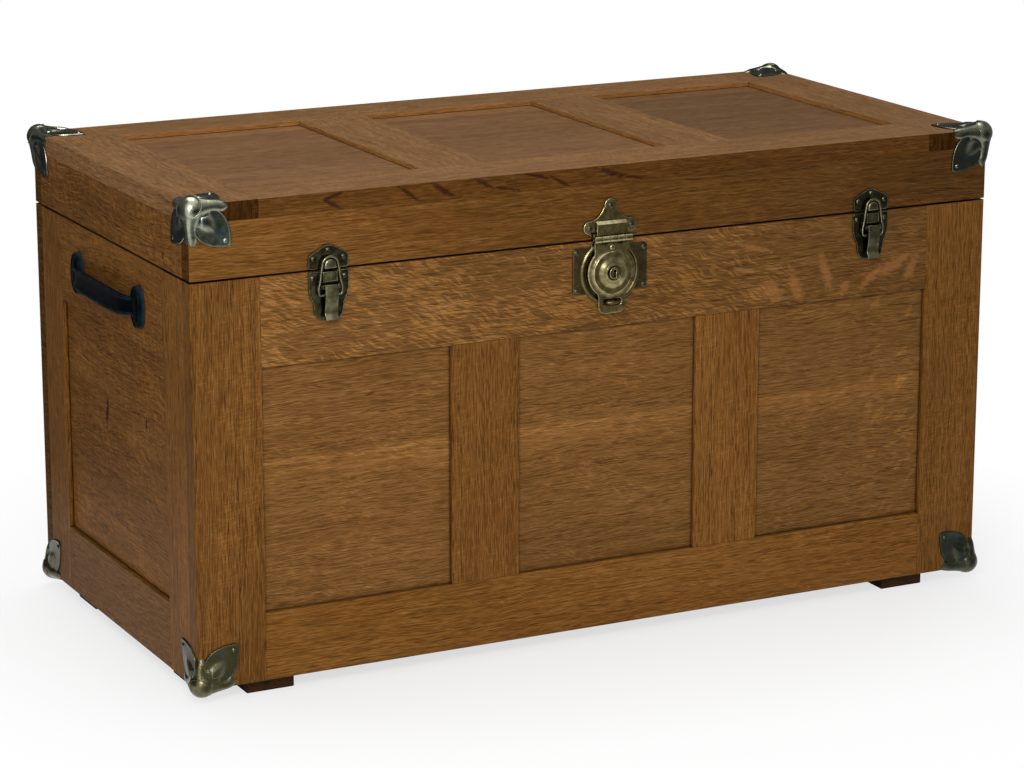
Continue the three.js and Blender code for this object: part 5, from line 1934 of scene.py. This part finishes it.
@dataclass
class Studio:
    """The pale floor, soft lamps, glowing cards seen only in reflections, and the camera."""

    camera_at: tuple[float, float, float] = (-1.8923, -3.7374, 1.3446)
    turn: float = -26.856
    lift: float = 14.474
    lens: float = 120.06
    aim: tuple[float, float, float] = (0.0, 0.0, 0.35)
    fill: float = 0.38
    card_span: Point = (0.001, 1.9)

    def seen(self, tree: NodeTree) -> Any:
        """1 for what the camera sees, straight, mirrored or through glass, and 0 for lighting.

        Args:
            tree: the nodes of the floor or of the sky.

        Returns:
            The share's value.
        """
        rays = add_node(tree, "ShaderNodeLightPath").node.outputs
        share = rays["Is Camera Ray"]
        for other in ("Is Glossy Ray", "Is Transmission Ray"):
            share = add_node(tree, "ShaderNodeMath", {0: share, 1: rays[other]}, operation="MAXIMUM")
        return share

    def floor(self) -> None:
        """A pale floor that keeps the soft shadow and fades to white."""
        build = bmesh.new()
        bmesh.ops.create_grid(build, x_segments=8, y_segments=8, size=6.0)
        mesh = mesh_from(build)
        made = bpy.data.objects.new("studio_floor", mesh)
        bpy.context.scene.collection.objects.link(made)
        material, tree = blank_material("matt_white_floor")
        coords = add_node(tree, "ShaderNodeTexCoord").node.outputs["Object"]
        reach = add_node(tree, "ShaderNodeVectorMath", {0: coords}, operation="LENGTH")
        reach = reach.node.outputs["Value"]
        far = add_node(
            tree, "ShaderNodeMapRange", {"Value": reach, "From Min": 0.5, "From Max": 0.9, "To Min": 0.68}
        )
        share = add_node(tree, "ShaderNodeMath", {0: far, 1: self.seen(tree)}, operation="MULTIPLY")
        matt = add_node(tree, "ShaderNodeBsdfDiffuse", {"Color": (0.97, 0.97, 0.97, 1.0)})
        white = add_node(tree, "ShaderNodeEmission", {"Color": WHITE, "Strength": 1.0})
        mixed = add_node(tree, "ShaderNodeMixShader", {0: share, 1: matt, 2: white})
        add_node(tree, "ShaderNodeOutputMaterial", {"Surface": mixed})
        mesh.materials.append(material)

    def sky(self) -> None:
        """A white surround for the camera and for gloss, and an even soft fill for the rest."""
        world = bpy.data.worlds.new("studio")
        bpy.context.scene.world = world
        world.use_nodes = True
        tree = world.node_tree
        tree.nodes.clear()
        strength = add_node(
            tree, "ShaderNodeMapRange", {"Value": self.seen(tree), "To Min": self.fill, "To Max": 1.0}
        )
        light = add_node(tree, "ShaderNodeBackground", {"Color": WHITE, "Strength": strength})
        add_node(tree, "ShaderNodeOutputWorld", {"Surface": light})

    def card(self, name: str, start: int, end: int, radius: float, shade: str) -> None:
        """A standing card around part of the stage, which only reflections show: a glowing grey sheet, a
        painted reflection that darkens the gloss of the metal and the wood.

        Args:
            name: the card's name.
            start: where it begins, in degrees from +X towards +Y.
            end: where it ends.
            radius: its distance from the middle, in metres.
            shade: its grey.
        """
        build = bmesh.new()
        turns = [math.radians(angle) for angle in range(start, end + 1, 10)]
        places = [(radius * math.cos(a), radius * math.sin(a)) for a in turns]
        ends = [[build.verts.new((*place, z)) for z in self.card_span] for place in places]
        for (a, b), (c, d) in zip(ends, ends[1:]):
            build.faces.new((a, b, d, c))
        mesh = bpy.data.meshes.new(name)
        build.to_mesh(mesh)
        build.free()
        material, tree = blank_material(f"{name}_paper")
        reflection_glow = add_node(tree, "ShaderNodeEmission", {"Color": linear(shade), "Strength": 1.0})
        add_node(tree, "ShaderNodeOutputMaterial", {"Surface": reflection_glow})
        mesh.materials.append(material)
        made = bpy.data.objects.new(name, mesh)
        bpy.context.scene.collection.objects.link(made)
        made.visible_camera = made.visible_diffuse = made.visible_shadow = False
        made.visible_transmission = False

    def lamp(self, name: str, at: Sequence[float], wide: float, tall: float, power: float) -> None:
        """A soft box of the given width and height, in metres, aimed at the chest.

        Args:
            name: the lamp's name.
            at: its place in metres.
            wide: the lamp's width in metres.
            tall: its height in metres.
            power: its power in watts.
        """
        data = bpy.data.lights.new(name, "AREA")
        data.shape = "RECTANGLE"
        data.size, data.size_y = wide, tall
        data.energy = power
        lamp = bpy.data.objects.new(name, data)
        lamp.location = at
        lamp.rotation_euler = (Vector(at) - Vector(self.aim)).to_track_quat("Z", "Y").to_euler()
        bpy.context.scene.collection.objects.link(lamp)

    def camera(self) -> None:
        """The camera at the photograph's angle."""
        data = bpy.data.cameras.new("camera")
        data.lens = self.lens
        data.sensor_width = 36.0
        data.clip_start, data.clip_end = 0.05, 60.0
        made = bpy.data.objects.new("camera", data)
        turn, lift = math.radians(self.turn), math.radians(self.lift)
        back = Vector((math.sin(turn) * math.cos(lift), -math.cos(turn) * math.cos(lift), math.sin(lift)))
        made.location = self.camera_at
        made.rotation_euler = back.to_track_quat("Z", "Y").to_euler()
        bpy.context.scene.collection.objects.link(made)
        bpy.context.scene.camera = made

    def set_up(self) -> None:
        """Builds the stage."""
        bpy.context.scene.view_settings.view_transform = "Standard"
        self.camera()
        self.sky()
        self.floor()
        # Painted reflections: glowing grey and dark cards that only the gloss of metal and wood shows.
        self.card("grey_card", -85, 15, 1.1, "#a0a0a0")
        self.card("black_card", 15, 205, 0.9, "#5a5a5a")
        self.lamp("key_lamp", (-1.5, -2.4, 1.8), 0.9, 0.9, 43.0)
        self.lamp("strip_lamp", (-2.0, -2.5, 0.85), 0.22, 1.5, 8.0)
        self.lamp("top_lamp", (0.1, 0.6, 3.4), 1.6, 1.6, 41.0)
        self.lamp("glint_lamp", (-0.25, -4.0, 1.0), 0.5, 0.5, 6.0)


def chest_boards() -> tuple[Board, ...]:
    """Every board with its grain and finish.

    Returns:
        The boards of the body and the lid.
    """
    fine_fleck = RayFleck(share=0.2, turn=-24, length=14, width=2.2, gain=0.3)
    pale = {"dark": "#5b3d1a", "middle": "#754f24", "light": "#8c6538"}
    plain = StainedOak("stained_quartersawn_oak", flecks=(RayFleck(0.1, -20, 16, 2.4, 0.25),))
    # Painted shade: the lid's front apron darkens along its length, away from the lamp.
    shaded_lid_apron = StainedOak("stained_oak_lid_apron", flecks=(RayFleck(0.2, -18, 16, 2.2, 0.25),), far_end_shade=0.5)
    ladder = RayFleck(share=0.4, turn=80, length=13, width=2.2, gain=0.22)
    upright = StainedOak(
        "stained_oak_stiles", fibre_length=13, pore_length=22, pore_depth=0.9, wander=2.2, flecks=(ladder,)
    )
    strokes = RayFleck(share=0.66, turn=-22, length=18, width=2.4, gain=0.66, span=(-300, 780))
    faint_strokes = RayFleck(share=0.5, turn=-16, length=18, width=2.4, gain=0.26, span=(540, 1300))
    # Each row is one mark: place along and across, half length, half width, slant.
    ribbons = (
        (657, 76, 30, 3.5, -16),
        (640, 50, 15, 3.0, -10),
        (683, 20, 19, 11, -50),
        (716, 24, 22, 8, -66),
        (760, 35, 26, 7, -72),
        (786, 13, 12, 6, 50),
        (822, 22, 20, 5, 40),
        (853, 34, 32, 8, 20),
        (884, 30, 16, 7, 60),
    )
    figured = StainedOak(
        "stained_oak_top_rail",
        flecks=(strokes, faint_strokes),
        marks=tuple(Mark(*row) for row in ribbons),
        mark_tone="#ac7440",
        mark_depth=0.5,
        # Painted shade: the top rail darkens along its length, away from the lamp.
        far_end_shade=0.8,
        **pale,
    )
    fanned = StainedOak("stained_oak_side", flecks=(RayFleck(0.7, 62, 18, 2.2, 0.3),), wander=9)
    slit = Mark(58, 16, 2.6, 6.0, 8)
    lid_side = StainedOak(
        "stained_oak_lid_side", flecks=(RayFleck(0.7, 64, 20, 2.6, 0.42),), wander=9, marks=(slit,)
    )
    streak = ((0.0, 0.92), (0.25, 0.97), (0.46, 1.0), (0.52, 1.08), (0.58, 1.26), (0.6, 1.4), (0.612, 0.98))
    blobs = RayFleck(share=0.4, turn=40, length=32, width=12, gain=0.3, span=(150, 330))
    front_panels = StainedOak("stained_oak_front_panels", strips=streak, flecks=(fine_fleck,), **pale)
    last_panel = StainedOak(
        "stained_oak_right_panel", wander=5, strips=streak, flecks=(fine_fleck, blobs), **pale
    )
    side_panels = StainedOak(
        "stained_oak_side_panels",
        wander=9,
        flecks=(RayFleck(0.55, 60, 16, 2.0, 0.35),),
        strips=((0.0, 1.1), (0.16, 1.08), (0.2, 0.98), (1.0, 0.98)),
        marks=(Mark(217, 189, 5, 17, 12), Mark(84, 206, 2.4, 10, 10)),
    )
    # Painted sheen: the lid panels' colours are paler and greyer, standing in for the satin's sheen seen low.
    lid_panels = StainedOak(
        "stained_oak_lid_panels",
        dark="#5c3d20",
        middle="#775330",
        light="#8e6c47",
        gloss=0.16,
        strips=((0.0, 1.04), (0.3, 1.03), (0.32, 0.96), (0.88, 0.95), (0.9, 1.2), (1.0, 1.2)),
        strip_span=375.0,
        crease_stain_and_shade=2.0,
    )
    ripple = RayFleck(share=0.5, turn=72, length=18, width=2.6, gain=0.2)
    # Painted sheen: the lid frame's colours are paler and greyer, standing in for the satin's sheen seen low.
    lid_frame = StainedOak(
        "stained_oak_lid_frame",
        dark="#5e3f1c",
        middle="#7e5830",
        light="#98714a",
        pore_depth=0.6,
        gloss=0.16,
        flecks=(ripple,),
    )
    # Painted light: a paler, warmer copy of the oak for the lid's recess walls that face the lamp.
    lit_edge = StainedOak(
        "stained_oak_painted_lit_edges",
        dark="#7c5022",
        middle="#966534",
        light="#ab7c4a",
        pore_depth=0.3,
        crease_stain_and_shade=1.2,
    )
    streaks = (
        (100, 17, 14, 2.6, 15),
        (100, 7, 15, 2.8, -28),
        (195, 11, 18, 2.6, -36),
        (239, 11, 20, 3.8, -31),
        (290, 15, 15, 3.0, -30),
        (319, 6, 20, 2.4, -13),
        (361, 17, 19, 2.4, -15),
        (391, 8, 15, 2.4, -26),
        (458, 13, 22, 4.0, -21),
        (488, 5, 15, 1.9, -8),
    )
    front_edge = StainedOak(
        "stained_oak_lid_front_edge",
        dark="#3f2408",
        middle="#573510",
        light="#6e481c",
        marks=tuple(Mark(*row) for row in streaks),
        on_edge=True,
    )
    feet = StainedOak("dark_stained_oak_feet", dark="#24140a", middle="#3a2412", light="#4c3018")
    x, y, z = Lay.ALONG_X, Lay.ALONG_Y, Lay.ALONG_Z
    corners = ("front_left", "front_right", "back_left", "back_right")
    # Tones: partly each board's own stain, partly painted light and shade, darker on the left side and to the
    # right.
    return (
        Board("front_left_post", z, upright, tone=0.79, side_tone=1.2),
        Board("front_right_post", z, upright, tone=0.86),
        Board("front_bottom_rail", x, plain, tone=1.03),
        Board("front_top_rail", x, figured, tone=0.87),
        Board("front_left_mullion", z, upright, tone=0.86),
        Board("front_right_mullion", z, upright, tone=0.96),
        Board("front_left_panel", x, front_panels),
        Board("front_middle_panel", x, front_panels, tone=0.97),
        Board("front_right_panel", x, last_panel, tone=0.93),
        Board("left_rear_stile", z, upright, tone=0.86),
        Board("right_rear_stile", z, upright, tone=0.95),
        Board("left_bottom_rail", y, plain, tone=0.82),
        Board("left_top_rail", y, fanned, tone=0.86),
        Board("left_panel", y, side_panels, tone=0.86),
        Board("right_bottom_rail", y, plain, tone=0.98),
        Board("right_top_rail", y, fanned),
        Board("right_panel", y, side_panels),
        Board("back_board", x, plain),
        Board("bottom_board", x, plain, tone=0.9),
        *(Board(f"{corner}_foot", x, feet, slot="dark_oak") for corner in corners),
        Board("lid_front_apron", x, shaded_lid_apron, "lid", 0.88),
        Board("lid_back_apron", x, plain, "lid", 0.98),
        Board("lid_left_apron", y, lid_side, "lid", 0.77),
        Board("lid_right_apron", y, lid_side, "lid", 0.98),
        Board("lid_front_rail", x, lid_frame, "lid", edge=front_edge, ends=front_edge, tongue=8.7),
        Board("lid_back_rail", x, lid_frame, "lid", edge=lit_edge),
        Board("lid_left_stile", y, lid_frame, "lid", ends=front_edge),
        Board("lid_right_stile", y, lid_frame, "lid", 0.92, edge=lit_edge, ends=front_edge),
        Board("lid_left_mullion", y, lid_frame, "lid", edge=lit_edge),
        Board("lid_right_mullion", y, lid_frame, "lid", 0.98, edge=lit_edge),
        Board("lid_left_panel", x, lid_panels, "lid", 1.1),
        Board("lid_middle_panel", x, lid_panels, "lid", 1.06),
        Board("lid_right_panel", x, lid_panels, "lid", 0.84),
    )


def main() -> None:
    """Builds the chest and the stage."""
    logging.basicConfig(level=logging.INFO, format="%(name)s: %(message)s")
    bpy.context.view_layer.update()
    Studio().set_up()
    Woodwork(chest_boards()).dress()
    # Painted light and shade: four copies of one pressed brass, lit brightest at the lid's left, darker right
    # and low.
    pressed = (
        ("lid_left", "pressed_brass_painted_lit", "#b4b79f", "#22261c", 0.8),
        ("lid_right", "shaded_pressed_brass", "#7c7f6c", "#34372b", 0.8),
        ("body_left", "pressed_brass_painted_shade_low", "#706a50", "#38351f", 0.5),
        ("body_right", "pressed_brass_painted_shade_low_right", "#575543", "#282a20", 0.6),
    )
    clamps = {
        place: AgedBrass(name, bright, skin, patina=patina, mottle=14.0, patches=0.15).material()
        for place, name, bright, skin, patina in pressed
    }
    lock_brass = AgedBrass("antiqued_rubbed_brass", bright="#c3b88a", skin="#5b4e28", rub=0.9, roughness=0.2)
    lock_brass = lock_brass.material()
    olive_brass = AgedBrass("antiqued_latch_brass", bright="#8c886d", skin="#434128", rub=0.9).material()
    plate_brass = AgedBrass("browned_plate_brass", bright="#776a48", skin="#463c23", rub=0.7).material()
    dark_brass = AgedBrass("blackened_brass", bright="#6b6a51", skin="#211f12", rub=0.7).material()
    studs = AgedBrass("blackened_steel_studs", bright="#6b6754", skin="#1b1a15", rub=0.8).material()
    hinge_brass = AgedBrass("drawn_strip_brass", bright="#b09a62", skin="#8d7a48", rub=0.6).material()
    iron = BlackIron().material()
    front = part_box("front_top_rail")
    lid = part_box("lid_front_apron")
    origin = Vector((0, front[0].y, (front[1].z + lid[0].z) / 2))
    CornerClamp().dress(clamps)
    DrawBolt().dress(dark_brass, olive_brass, studs, origin)
    HaspLock().dress(plate_brass, lock_brass, studs, origin)
    BackHinge().dress(hinge_brass)
    SideHandle().dress(iron)


if __name__ == "__main__":
    main()
